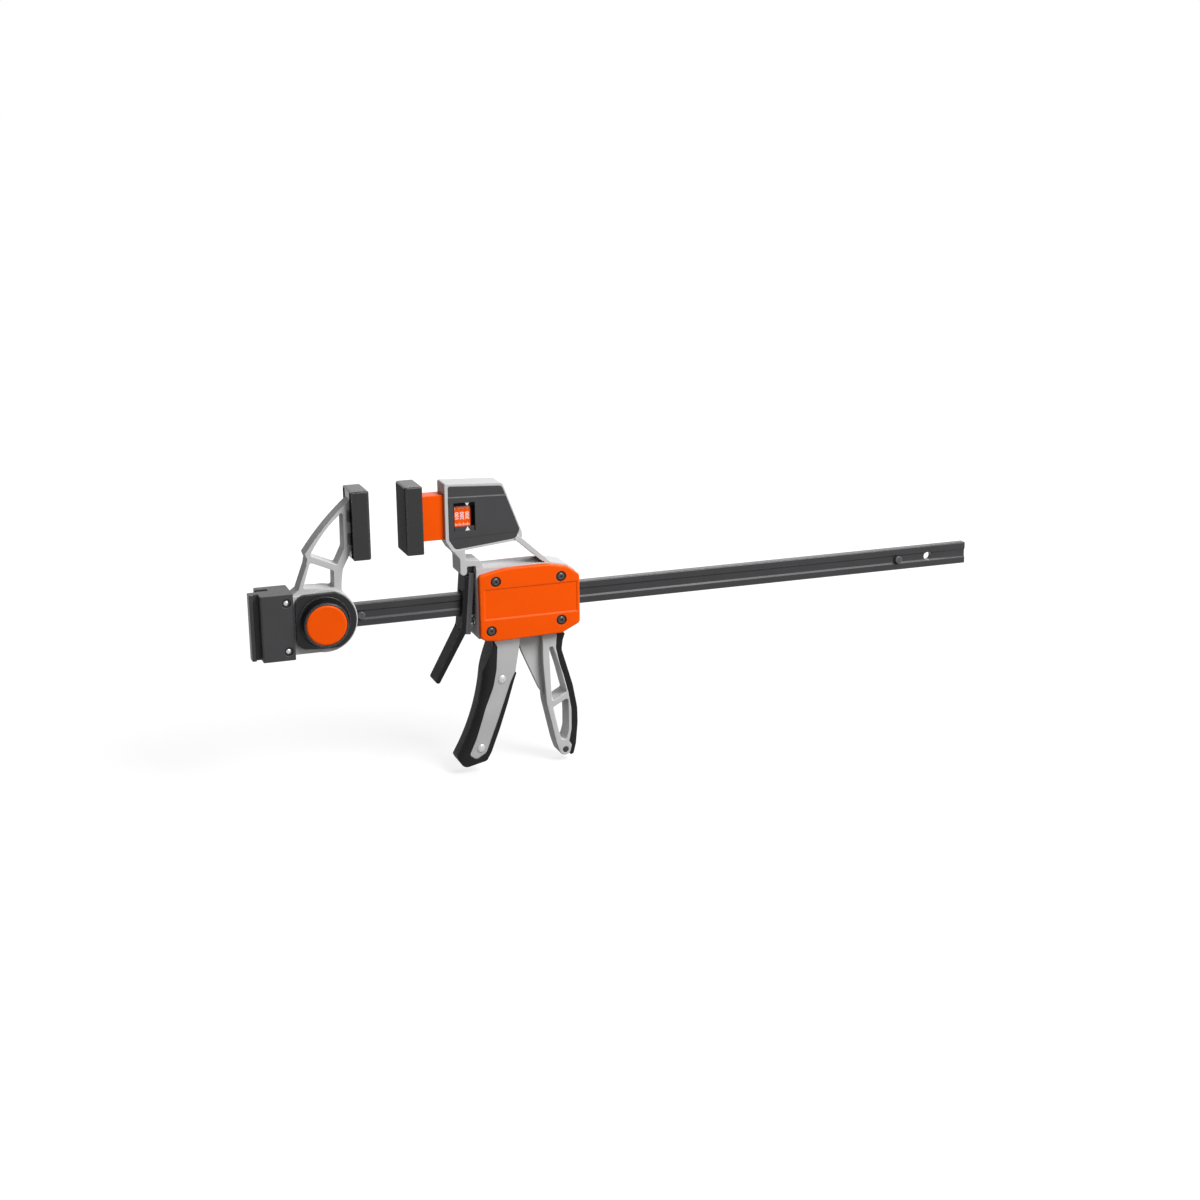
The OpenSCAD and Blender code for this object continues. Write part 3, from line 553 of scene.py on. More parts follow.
def copied(node: str, name: str) -> Object:
    """Copies a solid's mesh, joins its loose triangles and clears the lines inside flat faces.

    Args:
        node: The solid's name.
        name: The copy's name.

    Returns:
        The copy.
    """
    made = bpy.data.objects.new(name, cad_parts[node].data.copy())
    bpy.context.scene.collection.objects.link(made)
    pick(made)
    bpy.ops.mesh.customdata_custom_splitnormals_clear()
    bpy.ops.object.mode_set(mode="EDIT")
    bpy.ops.mesh.select_mode(type="VERT")
    bpy.ops.mesh.select_all(action="SELECT")
    bpy.ops.mesh.remove_doubles(threshold=WELD)
    bpy.ops.mesh.dissolve_limited(angle_limit=math.radians(FLAT_ANGLE))
    bpy.ops.mesh.select_all(action="SELECT")
    bpy.ops.mesh.vert_connect_concave()
    bpy.ops.mesh.select_all(action="DESELECT")
    bpy.ops.object.mode_set(mode="OBJECT")
    return made


@dataclass
class SharpEdges:
    """The sharp edges of a mesh and how far each is to be rounded, in millimetres."""

    starts: np.ndarray
    ends: np.ndarray
    widths: np.ndarray

    @classmethod
    def of(cls, mesh: Mesh, width_of: Rounding, steep: float) -> "SharpEdges":
        """Finds the sharp outer edges of a mesh. Inner corners keep no width.

        Args:
            mesh: The mesh.
            width_of: Gives the width for each sharp edge, in millimetres.
            steep: Least angle of a sharp edge, in degrees.

        Returns:
            Every edge, the ones that aren't sharp with no width.
        """
        shell = bmesh.new()
        shell.from_mesh(mesh)
        starts, ends = (
            np.array([edge.verts[end].co / MM for edge in shell.edges]) for end in (0, 1)
        )
        widths = np.zeros(len(shell.edges), np.float32)
        for index, edge in enumerate(shell.edges):
            outer = len(edge.link_faces) == 2 and edge.is_convex
            if outer and edge.calc_face_angle(0.0) > math.radians(steep):
                widths[index] = width_of(Brink(Vector(starts[index]), Vector(ends[index])))
        shell.free()
        return cls(starts, ends, widths)

    def ease(self, places: np.ndarray, share: float) -> None:
        """Narrows the rounding of the edges that lie near places where faces fold.

        Args:
            places: The places, in millimetres.
            share: What is left of the widths there.
        """
        along = self.ends - self.starts
        lengths = np.maximum((along ** 2).sum(1), 1e-9)
        gaps = places[None, :, :] - self.starts[:, None, :]
        spots = np.clip((gaps * along[:, None, :]).sum(2) / lengths[:, None], 0.0, 1.0)
        away = np.linalg.norm(gaps - spots[:, :, None] * along[:, None, :], axis=2).min(1)
        widths_off, further = FOLD_REACH
        self.widths[away < widths_off * self.widths + further] *= share


def folded(mesh: Mesh) -> set[Triple]:
    """Finds where neighbouring faces of a mesh lie folded onto each other.

    Args:
        mesh: The mesh.

    Returns:
        The places, in millimetres.
    """
    shell = bmesh.new()
    shell.from_mesh(mesh)
    bmesh.ops.triangulate(shell, faces=shell.faces)
    places = set()
    for edge in shell.edges:
        if len(edge.link_faces) != 2:
            continue
        one, other = edge.link_faces
        smaller = min(one.calc_area(), other.calc_area())
        if one.normal.dot(other.normal) < FOLD_FACING and smaller > FOLD_AREA:
            places.update(tuple(round(part / MM, 1) for part in corner.co) for corner in edge.verts)
    shell.free()
    return places


def flat_region(seed: Face, loose: set[Face]) -> list[Face]:
    """Gathers the faces that go on from one face in its plane, and takes them out of a set.

    Args:
        seed: The first face.
        loose: The faces that are in no region yet.

    Returns:
        The region.
    """
    place, normal = seed.verts[0].co, seed.normal
    region = [seed]
    loose.discard(seed)
    for face in region:
        for near in (near for edge in face.edges for near in edge.link_faces):
            offs = (abs((corner.co - place).dot(normal)) for corner in near.verts)
            if near in loose and all(off < FLATNESS for off in offs):
                loose.discard(near)
                region.append(near)
    return region


def refill_flats(mesh: Mesh) -> None:
    """Fills each flat region of a rounded mesh anew, where its old triangles fold.

    Faces and edges are taken in the mesh's own order, so that every run gives the same mesh.

    Args:
        mesh: The mesh.
    """
    shell = bmesh.new()
    shell.from_mesh(mesh)
    flats = [face for face in shell.faces if face.material_index == 0]
    loose = set(flats)
    for seed in sorted(flats, key=lambda face: -face.calc_area()):
        if seed not in loose:
            continue
        region = flat_region(seed, loose)
        normal = seed.normal.copy()
        if all(face.normal.dot(normal) > 0.5 for face in region):
            continue
        inside = set(region)
        lines = dict.fromkeys(edge for face in region for edge in face.edges)
        rim = [edge for edge in lines if sum(near in inside for near in edge.link_faces) == 1]
        before = [list(face.verts) for face in region]
        bmesh.ops.delete(shell, geom=region, context="FACES_ONLY")
        filled = bmesh.ops.triangle_fill(
            shell, use_beauty=True, use_dissolve=False, edges=rim, normal=normal,
        )
        if any(len(edge.link_faces) != 2 for edge in rim):
            new = [part for part in filled["geom"] if isinstance(part, Face)]
            bmesh.ops.delete(shell, geom=new, context="FACES_ONLY")
            for corners in before:
                shell.faces.new(corners)
            shell.normal_update()
    stray = [edge for edge in shell.edges if not edge.link_faces]
    bmesh.ops.delete(shell, geom=stray, context="EDGES")
    shell.to_mesh(mesh)
    shell.free()


def mark(mesh: Mesh, name: str, domain: str, values: Iterable[float]) -> None:
    """Gives every point, edge or face of a mesh a named number."""
    mesh.attributes.new(name, "FLOAT", domain).data.foreach_set("value", values)


def mark_wear_and_highlight(mesh: Mesh) -> None:
    """Marks the points in the middle of rounded edges, which take the lighter edge colour: part
    wear, part painted highlight.

    Args:
        mesh: The mesh.
    """
    # Painted highlight and wear: these points take the lighter edge colour
    rubbed = np.ones(len(mesh.vertices), np.float32)
    for face in mesh.polygons:
        if face.material_index != 1:
            rubbed[list(face.vertices)] = 0.0
        face.material_index = 0
    mark(mesh, "rubbed", "POINT", rubbed)


def round_edges(piece: Object, width_of: Rounding, segments: int = 3, steep: float = 30.0) -> None:
    """Rounds the sharp edges of a mesh and marks them for the lighter edge colour of wear and
    painted highlight.

    Where a rounding would run into its neighbours, it is tried again narrower.

    Args:
        piece: The object.
        width_of: Gives the width for each sharp edge, in millimetres.
        segments: Flats across a rounded edge.
        steep: Least angle of a sharp edge, in degrees.
    """
    edges = SharpEdges.of(piece.data, width_of, steep)
    if edges.widths.max(initial=0.0) <= 0:
        return
    piece.data.materials.clear()
    for _ in range(2):
        piece.data.materials.append(None)
    plain = piece.data
    known = folded(plain)
    for share in NARROWING:
        piece.data = plain.copy()
        largest = float(edges.widths.max())
        mark(piece.data, "bevel_weight_edge", "EDGE", edges.widths / max(largest, 0.001))
        apply_modifier(
            piece, "BEVEL", width=largest * MM, segments=segments, limit_method="WEIGHT",
            use_clamp_overlap=False, loop_slide=False, material=1,
        )
        refill_flats(piece.data)
        places = sorted(folded(piece.data) - known)
        if not places:
            break
        edges.ease(np.array(places), share)
    if places:
        LOG.info("%s: %d places still fold", piece.name, len(places))
    mark_wear_and_highlight(piece.data)
    left = piece.data.attributes.get("bevel_weight_edge")
    if left is not None:
        piece.data.attributes.remove(left)


def rounded(node: str, name: str, width_of: Rounding) -> Object:
    """Makes a copy of a solid with its edges rounded as the real ones are.

    Args:
        node: The solid's name.
        name: The copy's name.
        width_of: Gives the width for each sharp edge, in millimetres.

    Returns:
        The copy, shaded smooth.
    """
    made = copied(node, name)
    round_edges(made, width_of)
    smooth(made)
    return made


def remade(node: str, name: str, finish: Finish, body: Body, width_of: Rounding) -> None:
    """Shows a rounded copy with a finish in place of a solid."""
    dress(rounded(node, name, width_of), finish, body, node)


def within(value: float, span: Span, slack: float = 0.0) -> bool:
    """Tells if a value lies between two ends, or past them by less than the slack."""
    return span[0] - slack < value < span[1] + slack


def even(width: float) -> Rounding:
    """Gives the rule that rounds every outer edge by one width, in millimetres."""
    return lambda brink: width


def slab(name: str, x: Span, y: Span, z: Span) -> Object:
    """Starts a piece as a box.

    Args:
        name: The piece's name.
        x: Its left and right ends, in millimetres.
        y: Its front and back, in millimetres.
        z: Its foot and top, in millimetres.

    Returns:
        The box, with its place in its mesh.
    """
    if bpy.context.mode != "OBJECT":
        bpy.ops.object.mode_set(mode="OBJECT")
    bpy.ops.object.select_all(action="DESELECT")
    low, high = (Vector((x[end], y[end], z[end])) for end in (0, 1))
    bpy.ops.mesh.primitive_cube_add(size=1.0, location=(low + high) / 2 * MM)
    made = bpy.context.active_object
    made.name = name
    made.scale = (high - low) * MM
    settle(made)
    return made


def start_alike(mesh: Mesh) -> None:
    """Makes many-sided faces start at the same corner on every run, and so split alike.

    Args:
        mesh: The mesh.
    """
    shell = bmesh.new()
    shell.from_mesh(mesh)
    for face in [face for face in shell.faces if len(face.verts) > 4]:
        corners = list(face.verts)
        first = corners.index(min(corners, key=lambda corner: tuple(corner.co)))
        shell.faces.remove(face)
        shell.faces.new(corners[first:] + corners[:first])
    shell.to_mesh(mesh)
    shell.free()


def dome(name: str, place: Vector, radius: float, rise: float, side: Side) -> Object:
    """Models a domed head that stands out of a flat face.

    Args:
        name: The piece's name.
        place: Middle of its seat, in millimetres.
        radius: Its radius, in millimetres.
        rise: How far it stands out, in millimetres.
        side: The face of the clamp that it is on.

    Returns:
        The head, closed at its seat.
    """
    bpy.ops.mesh.primitive_uv_sphere_add(
        segments=40, ring_count=24, radius=1.0, rotation=(math.pi / 2, 0, 0),
    )
    made = bpy.context.active_object
    made.name = name
    settle(made)
    made.scale = Vector((radius, rise, radius)) * MM
    made.location = place * MM
    settle(made)
    bpy.ops.object.mode_set(mode="EDIT")
    bpy.ops.mesh.select_all(action="SELECT")
    bpy.ops.mesh.bisect(
        plane_co=place * MM, plane_no=(0, side.value, 0), clear_inner=True, use_fill=True,
    )
    bpy.ops.object.mode_set(mode="OBJECT")
    start_alike(made.data)
    # Painted highlight and wear: the head lightens towards its top, growing with the square of its
    # height
    tops = [abs(corner.co.y / MM - place.y) / rise for corner in made.data.vertices]
    mark(made.data, "rubbed", "POINT", [top * top for top in tops])
    return made


def round_stock(place: Vector, radius: float, length: float, sides: int = 40) -> Object:
    """Starts a piece as a round bar across the clamp.

    Args:
        place: Its middle, in millimetres.
        radius: Its radius, in millimetres.
        length: Its length, in millimetres.
        sides: Flats round it.

    Returns:
        The bar, with its place in its mesh.
    """
    bpy.ops.mesh.primitive_cylinder_add(
        vertices=sides, radius=radius * MM, depth=length * MM,
        location=place * MM, rotation=(math.pi / 2, 0, 0),
    )
    made = bpy.context.active_object
    settle(made)
    return made


def domed_pins(name: str, places: list[Span], seat: float, shank: Span, head: Span) -> Object:
    """Models round pins across the clamp with a domed head at each end.

    Args:
        name: The piece's name.
        places: The pins' places along the bar and their heights, in millimetres.
        seat: How far the heads' seats are from the middle plane, in millimetres.
        shank: The shanks' radius and how far they go past the seat, in millimetres.
        head: The heads' radius and how far they stand out, in millimetres.

    Returns:
        The pins as one piece.
    """
    made = []
    for x, z in places:
        pin = round_stock(Vector((x, 0, z)), shank[0], 2 * (seat + shank[1]))
        round_edges(pin, even(SHANK_EDGE), 2)
        made.append(pin)
        for side in Side:
            made.append(dome("head", Vector((x, side.value * seat, z)), *head, side))
    pins = joined(name, *made)
    smooth(pins)
    return pins


def select_faces(piece: Object, wanted: Callable[[bpy.types.MeshPolygon], bool]) -> None:
    """Enters edit mode with only the wanted faces selected.

    Args:
        piece: The object.
        wanted: Tells if a face is to be selected.
    """
    pick(piece)
    bpy.ops.object.mode_set(mode="EDIT")
    bpy.ops.mesh.select_mode(type="FACE")
    bpy.ops.mesh.select_all(action="DESELECT")
    bpy.ops.object.mode_set(mode="OBJECT")
    for face in piece.data.polygons:
        face.select = wanted(face)
    bpy.ops.object.mode_set(mode="EDIT")


def joined(name: str, *parts: Object) -> Object:
    """Joins several meshes into one piece.

    Args:
        name: The piece's name.
        parts: The meshes.

    Returns:
        The piece.
    """
    pick(*parts)
    bpy.ops.object.join()
    made = bpy.context.active_object
    made.name = name
    return made


# ---------------------------------------------------------------- sub-assemblies


@dataclass
class JawPad:
    """A moulded jaw pad: a rounded block whose back is hollow round a central land."""

    face: float
    back: float
    land: float
    half_width: float = 15.8
    half_height: float = 28.0
    rim: float = 1.5
    hollow: float = 1.15
    land_sink: float = 0.5
    land_overlap: float = 0.05
    face_edge: float = 2.4
    top_edge: float = 1.7
    back_edge: float = 1.0
    rim_edge: float = 0.25
    land_edge: float = 0.2
    long_side: float = 40.0

    def width(self, brink: Brink) -> float:
        """Rounds the corners beside the clamping face most and the hollow's rim least.

        Args:
            brink: The edge.

        Returns:
            Its width, in millimetres.
        """
        sizes = ((brink.middle.y, self.half_width), (brink.middle.z, self.half_height))
        outside = any(abs(abs(place) - half) < NEAR for place, half in sizes)
        if brink.lies_at(0, self.back):
            return self.back_edge if outside else self.rim_edge
        if brink.lies_at(0, self.face):
            return self.face_edge if brink.length > self.long_side else self.top_edge
        return self.top_edge

    def build(self, name: str) -> Object:
        """Models the pad.

        Args:
            name: The pad's name.

        Returns:
            The pad.
        """
        inward = 1.0 if self.face > self.back else -1.0
        block = slab(name, tuple(sorted((self.face, self.back))),
                     (-self.half_width, self.half_width), (-self.half_height, self.half_height))
        select_faces(block, lambda face: face.normal.x * inward < -FACING)
        bpy.ops.mesh.inset(thickness=self.rim * MM, depth=0.0)
        bpy.ops.mesh.extrude_region_move(
            TRANSFORM_OT_translate={"value": (inward * self.hollow * MM, 0, 0)},
        )
        bpy.ops.object.mode_set(mode="OBJECT")
        round_edges(block, self.width, 4)
        sunk = self.back + inward * (self.hollow + self.land_sink)
        foot = -self.half_height + self.rim - self.land_overlap
        land = slab("land", tuple(sorted((self.back, sunk))), (-self.land / 2, self.land / 2),
                    (foot, -foot))
        round_edges(land, even(self.land_edge), 2)
        made = joined(name, block, land)
        smooth(made)
        clamping = [float(face.normal.x * inward > FACING) for face in made.data.polygons]
        mark(made.data, "clamping", "FACE", clamping)
        return made


@dataclass
class Bar:
    """The grooved bar with its two stop pins."""

    long_edge: float = 0.45
    lip_edge: float = 0.12
    lip: float = 4.2
    short_edge: float = 0.22
    long_side: float = 20.0
    pin_edge: float = 0.3

    def edge_width(self, brink: Brink) -> float:
        """Rounds the rolled edges that run the bar's length more than the groove's lips.

        Args:
            brink: The edge.

        Returns:
            Its width, in millimetres.
        """
        if abs(brink.middle.z - BAR_Z) < self.lip:
            return self.lip_edge
        return self.long_edge if brink.length > self.long_side else self.short_edge

    def build(self) -> None:
        """Builds and dresses the bar and the pins."""
        remade("bar", "rolled_bar", BAR_STEEL, Body.FRAME, self.edge_width)
        remade("stop_pins", "domed_stop_pins", PLATE_STEEL, Body.FRAME, even(self.pin_edge))


@dataclass
class FixedJaw:
    """The cast jaw on the bar's end, with its pad and the end coupler."""

    cast_edge: float = 0.6
    bore_edge: float = 0.2
    bore_half: float = 7.0
    pad_back: float = -14.4
    pad_land: float = 15.8
    clip_x: Span = (-2.6, 2.2)
    clip_y: Span = (7.9, 9.4)
    clip_z: Span = (-11.0, 7.5)
    clip_half: float = 4.4
    clip_edge: float = 0.4
    coupler_edge: float = 0.38
    screw_x: float = -70.1
    screw_z: Span = (18.8, -20.5)
    screw_seat: float = 14.0
    screw_shank: Span = (1.8, 0.4)
    screw_dome: Span = (2.5, 1.8)

    def cast_width(self, brink: Brink) -> float:
        """Rounds the casting's outer edges and leaves its bores nearly sharp."""
        return self.bore_edge if abs(brink.middle.y) < self.bore_half else self.cast_edge

    def clip(self, side: Side, z: float) -> Object:
        """Models one of the pad's clips, that reach back over the jaw's flange.

        Args:
            side: The flange's side.
            z: The clip's height, in millimetres.

        Returns:
            The clip.
        """
        left, right = (self.pad_back + reach for reach in self.clip_x)
        made = slab("clip", (left, right), side.depths(*self.clip_y),
                    (z - self.clip_half, z + self.clip_half))
        round_edges(made, even(self.clip_edge), 3)
        return made

    def build(self) -> None:
        """Builds and dresses the jaw, the pad, the coupler and its screws."""
        remade("fixed_jaw", "jaw_casting", CAST_PAINT, Body.FRAME, self.cast_width)
        block = JawPad(0.0, self.pad_back, self.pad_land).build("jaw_pad")
        pad = joined("jaw_pad", block, *[self.clip(side, z) for side in Side for z in self.clip_z])
        dress(pad, PAD_BLACK, Body.FRAME, "fixed_pad")
        remade("end_coupler", "coupler_block", MOULDED_BLACK, Body.FRAME, even(self.coupler_edge))
        places = [(self.screw_x, z + BAR_Z) for z in self.screw_z]
        screws = domed_pins("coupler_dome_screws", places, self.screw_seat, self.screw_shank,
                            self.screw_dome)
        dress(screws, ZINC_STEEL, Body.FRAME, "coupler_screws")


@dataclass
class LockKnob:
    """The pull knob that locks the jaw, on its plate."""

    plate_edge: float = 0.5
    guide_edge: float = 0.1
    knob_edge: float = 0.4
    disc_edge: float = 0.3
    lock: Span = (-40.3, BAR_Z)
    guide_radius: float = 12.0
    screw_at: float = 10.0
    screw_reach: float = 4.0

    def plate_width(self, brink: Brink) -> float:
        """Rounds the plate's outline and ring, and leaves the guide inside nearly sharp.

        Args:
            brink: The edge.

        Returns:
            Its width, in millimetres.
        """
        x, z = brink.middle.x - self.lock[0], brink.middle.z - self.lock[1]
        by_screw = min(math.hypot(x - at, z - at) for at in (self.screw_at, -self.screw_at))
        sharp = by_screw < self.screw_reach or math.hypot(x, z) < self.guide_radius
        return self.guide_edge if sharp else self.plate_edge

    def build(self) -> None:
        """Builds and dresses the plate, the knob, the disc and the pin behind them."""
        remade("knob_plate", "knob_ring_plate", KNOB_BLACK, Body.FRAME, self.plate_width)
        remade("knob", "knob_cup", KNOB_BLACK, Body.KNOB, even(self.knob_edge))
        remade("knob_disc", "knob_insert", ORANGE_GLOSS, Body.KNOB, even(self.disc_edge))
        redress(ZINC_STEEL, "plate_screws", "lock_pin", "knob_spring")


@dataclass
class Head:
    """The sliding head: its casting and handle, side panels, covers and screws."""

    cast_edge: float = 0.4
    cast_inside: float = 8.9
    corner_edge: float = 1.3
    corner_across: float = 15.0
    corner_low: float = 20.0
    corner_right: float = 6.0
    handle_edge: float = 0.7
    pin_edge: float = 0.3
    strip_edge: float = 0.9
    strip_foot_edge: float = 0.25
    strip_foot_z: float = -208.0
    crease_angle: float = 26.0
    panel_edge: float = 0.38
    panel_face: float = 11.5
    panel_step: float = 0.5
    panel_lean: float = 0.38
    crease_slope: float = 0.9
    crease_z: float = 15.6
    crease_fall: float = 35.0
    crease_middle: float = 30.0
    window_edge: float = 0.2
    window_x: Span = (6.9, 25.4)
    window_z: Span = (-12.8, 11.4)
    low_step_z: Span = (-18.5, -16.0)
    low_step_length: float = 30.0
    low_step_fall: float = 1.0
    cover_edge: float = 1.5
    cover_face: float = 16.7
    cover_reach: float = 1.0
    band_deep: float = 0.7
    band_slope: float = 1.2
    band_x: Span = (29.0, 109.4)
    band_z: Span = (-12.4, 14.0)
    band_slack: float = 0.1
    ring_edge: float = 0.3
    ring_reach: float = 4.7
    screw_reach: float = 3.0
    screws: tuple[Span, ...] = ((39.3, 19.5), (95.2, 18.9), (95.0, -18.3), (34.6, -21.7))
    screw_edge: float = 0.4
    socket_edge: float = 0.1
    socket_reach: float = 1.5
    # Painted shade: dark rings in the cover screws' recesses, where the recesses lie in shade
    recess_shade_radii: Span = (4.25, 2.05)
    recess_shade_seat: float = 15.0
    recess_shade_thick: float = 0.75
    recess_shade_edge: float = 0.2

    def cast_width(self, brink: Brink) -> float:
        """Rounds the casting outside and leaves its bores and the drive's cavity sharp.

        Args:
            brink: The edge.

        Returns:
            Its width, in millimetres.
        """
        across = abs(brink.end.y - brink.start.y) > self.corner_across
        by_pad = brink.middle.x - HEAD_X < self.corner_right and brink.middle.z > self.corner_low
        if across and by_pad:
            return self.corner_edge
        return 0.0 if abs(brink.middle.y) < self.cast_inside else self.cast_edge

    def strip_width(self, brink: Brink) -> float:
        """Rounds the rubber strip, and less so its narrow foot."""
        return self.strip_foot_edge if brink.middle.z < self.strip_foot_z else self.strip_edge

    def near_screw(self, brink: Brink, reach: float) -> bool:
        """Tells if an edge lies near the middle of a cover screw."""
        x, z = brink.middle.x - HEAD_X, brink.middle.z - BAR_Z
        return any(math.hypot(x - at[0], z - at[1]) < reach for at in self.screws)

    def cover_width(self, brink: Brink) -> float:
        """Rounds the cover's outline, and less so its band and the rings round its screws.

        Args:
            brink: The edge.

        Returns:
            Its width, in millimetres.
        """
        if self.near_screw(brink, self.ring_reach):
            return 0.0 if self.near_screw(brink, self.screw_reach) else self.ring_edge
        x, z = brink.middle.x - HEAD_X, brink.middle.z - BAR_Z
        slack = self.band_slack
        if within(x, self.band_x, slack) and within(z, self.band_z, slack):
            return self.ring_edge
        on_face = abs(abs(brink.middle.y) - self.cover_face) < self.cover_reach
        return self.cover_edge if on_face else 0.0

    def panel_width(self, brink: Brink) -> float:
        """Rounds the panel's outline, and less so its window and the recess round it.

        Args:
            brink: The edge.

        Returns:
            Its width, in millimetres.
        """
        x, z = brink.middle.x - HEAD_X, brink.middle.z
        by_window = within(x, self.window_x) and within(z, self.window_z)
        leans = abs(brink.end.z - brink.start.z) > self.low_step_fall
        across = leans and brink.length > self.low_step_length
        low_step = across and within(z, self.low_step_z)
        return self.window_edge if by_window or low_step else self.panel_edge

    def screw_width(self, brink: Brink) -> float:
        """Rounds the screws' heads into buttons, and leaves their sockets nearly sharp."""
        return self.socket_edge if self.near_screw(brink, self.socket_reach) else self.screw_edge

    def soften_band(self, cover: Object) -> None:
        """Gives the cover's shallow band sloping sides, as moulded.

        Args:
            cover: The cover.
        """
        for corner in cover.data.vertices:
            x, y, z = corner.co / MM
            if abs(abs(y) - (self.cover_face - self.band_deep)) > NEAR:
                continue
            for axis, place, ends in ((0, x - HEAD_X, self.band_x), (2, z - BAR_Z, self.band_z)):
                if any(abs(place - end) < NEAR for end in ends):
                    inward = 1 if place < sum(ends) / 2 else -1
                    corner.co[axis] += inward * self.band_slope * MM

    def soften_crease(self, panel: Object) -> None:
        """Gives the upper step across a side panel a sloping face, as moulded.

        Args:
            panel: The panel.
        """
        for corner in panel.data.vertices:
            x, y, z = corner.co / MM
            x -= HEAD_X
            on_step = abs(abs(y) - (self.panel_face - self.panel_step)) <= NEAR
            if not on_step or abs(z - (self.crease_z - x / self.crease_fall)) > NEAR:
                continue
            corner.co.z += self.crease_slope * MM
            if x > self.crease_middle:
                corner.co.x -= self.crease_slope * self.panel_lean * MM

    def build_castings(self) -> None:
        """Builds and dresses the silver castings and the rubber on the handle."""
        remade("head_casting", "head_body_casting", CAST_PAINT, Body.HEAD, self.cast_width)
        remade("handle", "handle_casting", CAST_PAINT, Body.HEAD, even(self.handle_edge))
        remade("handle_strip", "handle_rubber", GRIP_RUBBER, Body.HEAD, self.strip_width)
        remade("handle_pin", "handle_foot_pin", MOULDED_BLACK, Body.HEAD, even(self.pin_edge))

    def build_side(self, side: Side) -> None:
        """Builds and dresses one side's panel and cover.

        Args:
            side: Front or back.
        """
        end = side.word
        plates = (
            ("housing_panel", "gauge_panel", MOULDED_BLACK, self.soften_crease, 3, self.panel_width),
            ("side_cover", "body_cover", ORANGE_GLOSS, self.soften_band, 4, self.cover_width),
        )
        for node, name, finish, soften, segments, width_of in plates:
            made = copied(f"{node}_{end}", f"{name}_{end}")
            soften(made)
            round_edges(made, width_of, segments)
            smooth(made, self.crease_angle)
            dress(made, finish, Body.HEAD, f"{node}_{end}")

    def recess_shade_ring(self, x: float, z: float, side: Side) -> Object:
        """Models painted shade: a dark ring under one of the covers' screws, that fills its recess
        where the recess lies in shade.

        Args:
            x: Its place along the bar, from the head's left face.
            z: Its height from the bar's middle.
            side: The cover that it lies in.

        Returns:
            The washer.
        """
        outer, inner = self.recess_shade_radii
        level = side.value * (self.recess_shade_seat + self.recess_shade_thick / 2)
        made = round_stock(Vector((x + HEAD_X, level, z + BAR_Z)), outer, self.recess_shade_thick, 48)
        select_faces(made, lambda face: abs(face.normal.y) > FACING)
        bpy.ops.mesh.inset(thickness=(outer - inner) * MM, depth=0.0)
        bpy.ops.mesh.bridge_edge_loops()
        bpy.ops.object.mode_set(mode="OBJECT")
        round_edges(made, even(self.recess_shade_edge), 2)
        return made

    def build(self) -> None:
        """Builds and dresses the whole head."""
        self.build_castings()
        for side in Side:
            self.build_side(side)
        remade("cover_screws", "cover_button_screws", SCREW_BLACK, Body.HEAD, self.screw_width)
        # Painted shade: dark rings that fill the cover screws' recesses
        rings = [self.recess_shade_ring(*at, side) for at in self.screws for side in Side]
        recess_shades = joined("cover_recess_shades", *rings)
        smooth(recess_shades)
        dress(recess_shades, KNOB_BLACK, Body.HEAD)
        redress(ZINC_STEEL, "gauge_pin", "pivot_pin")


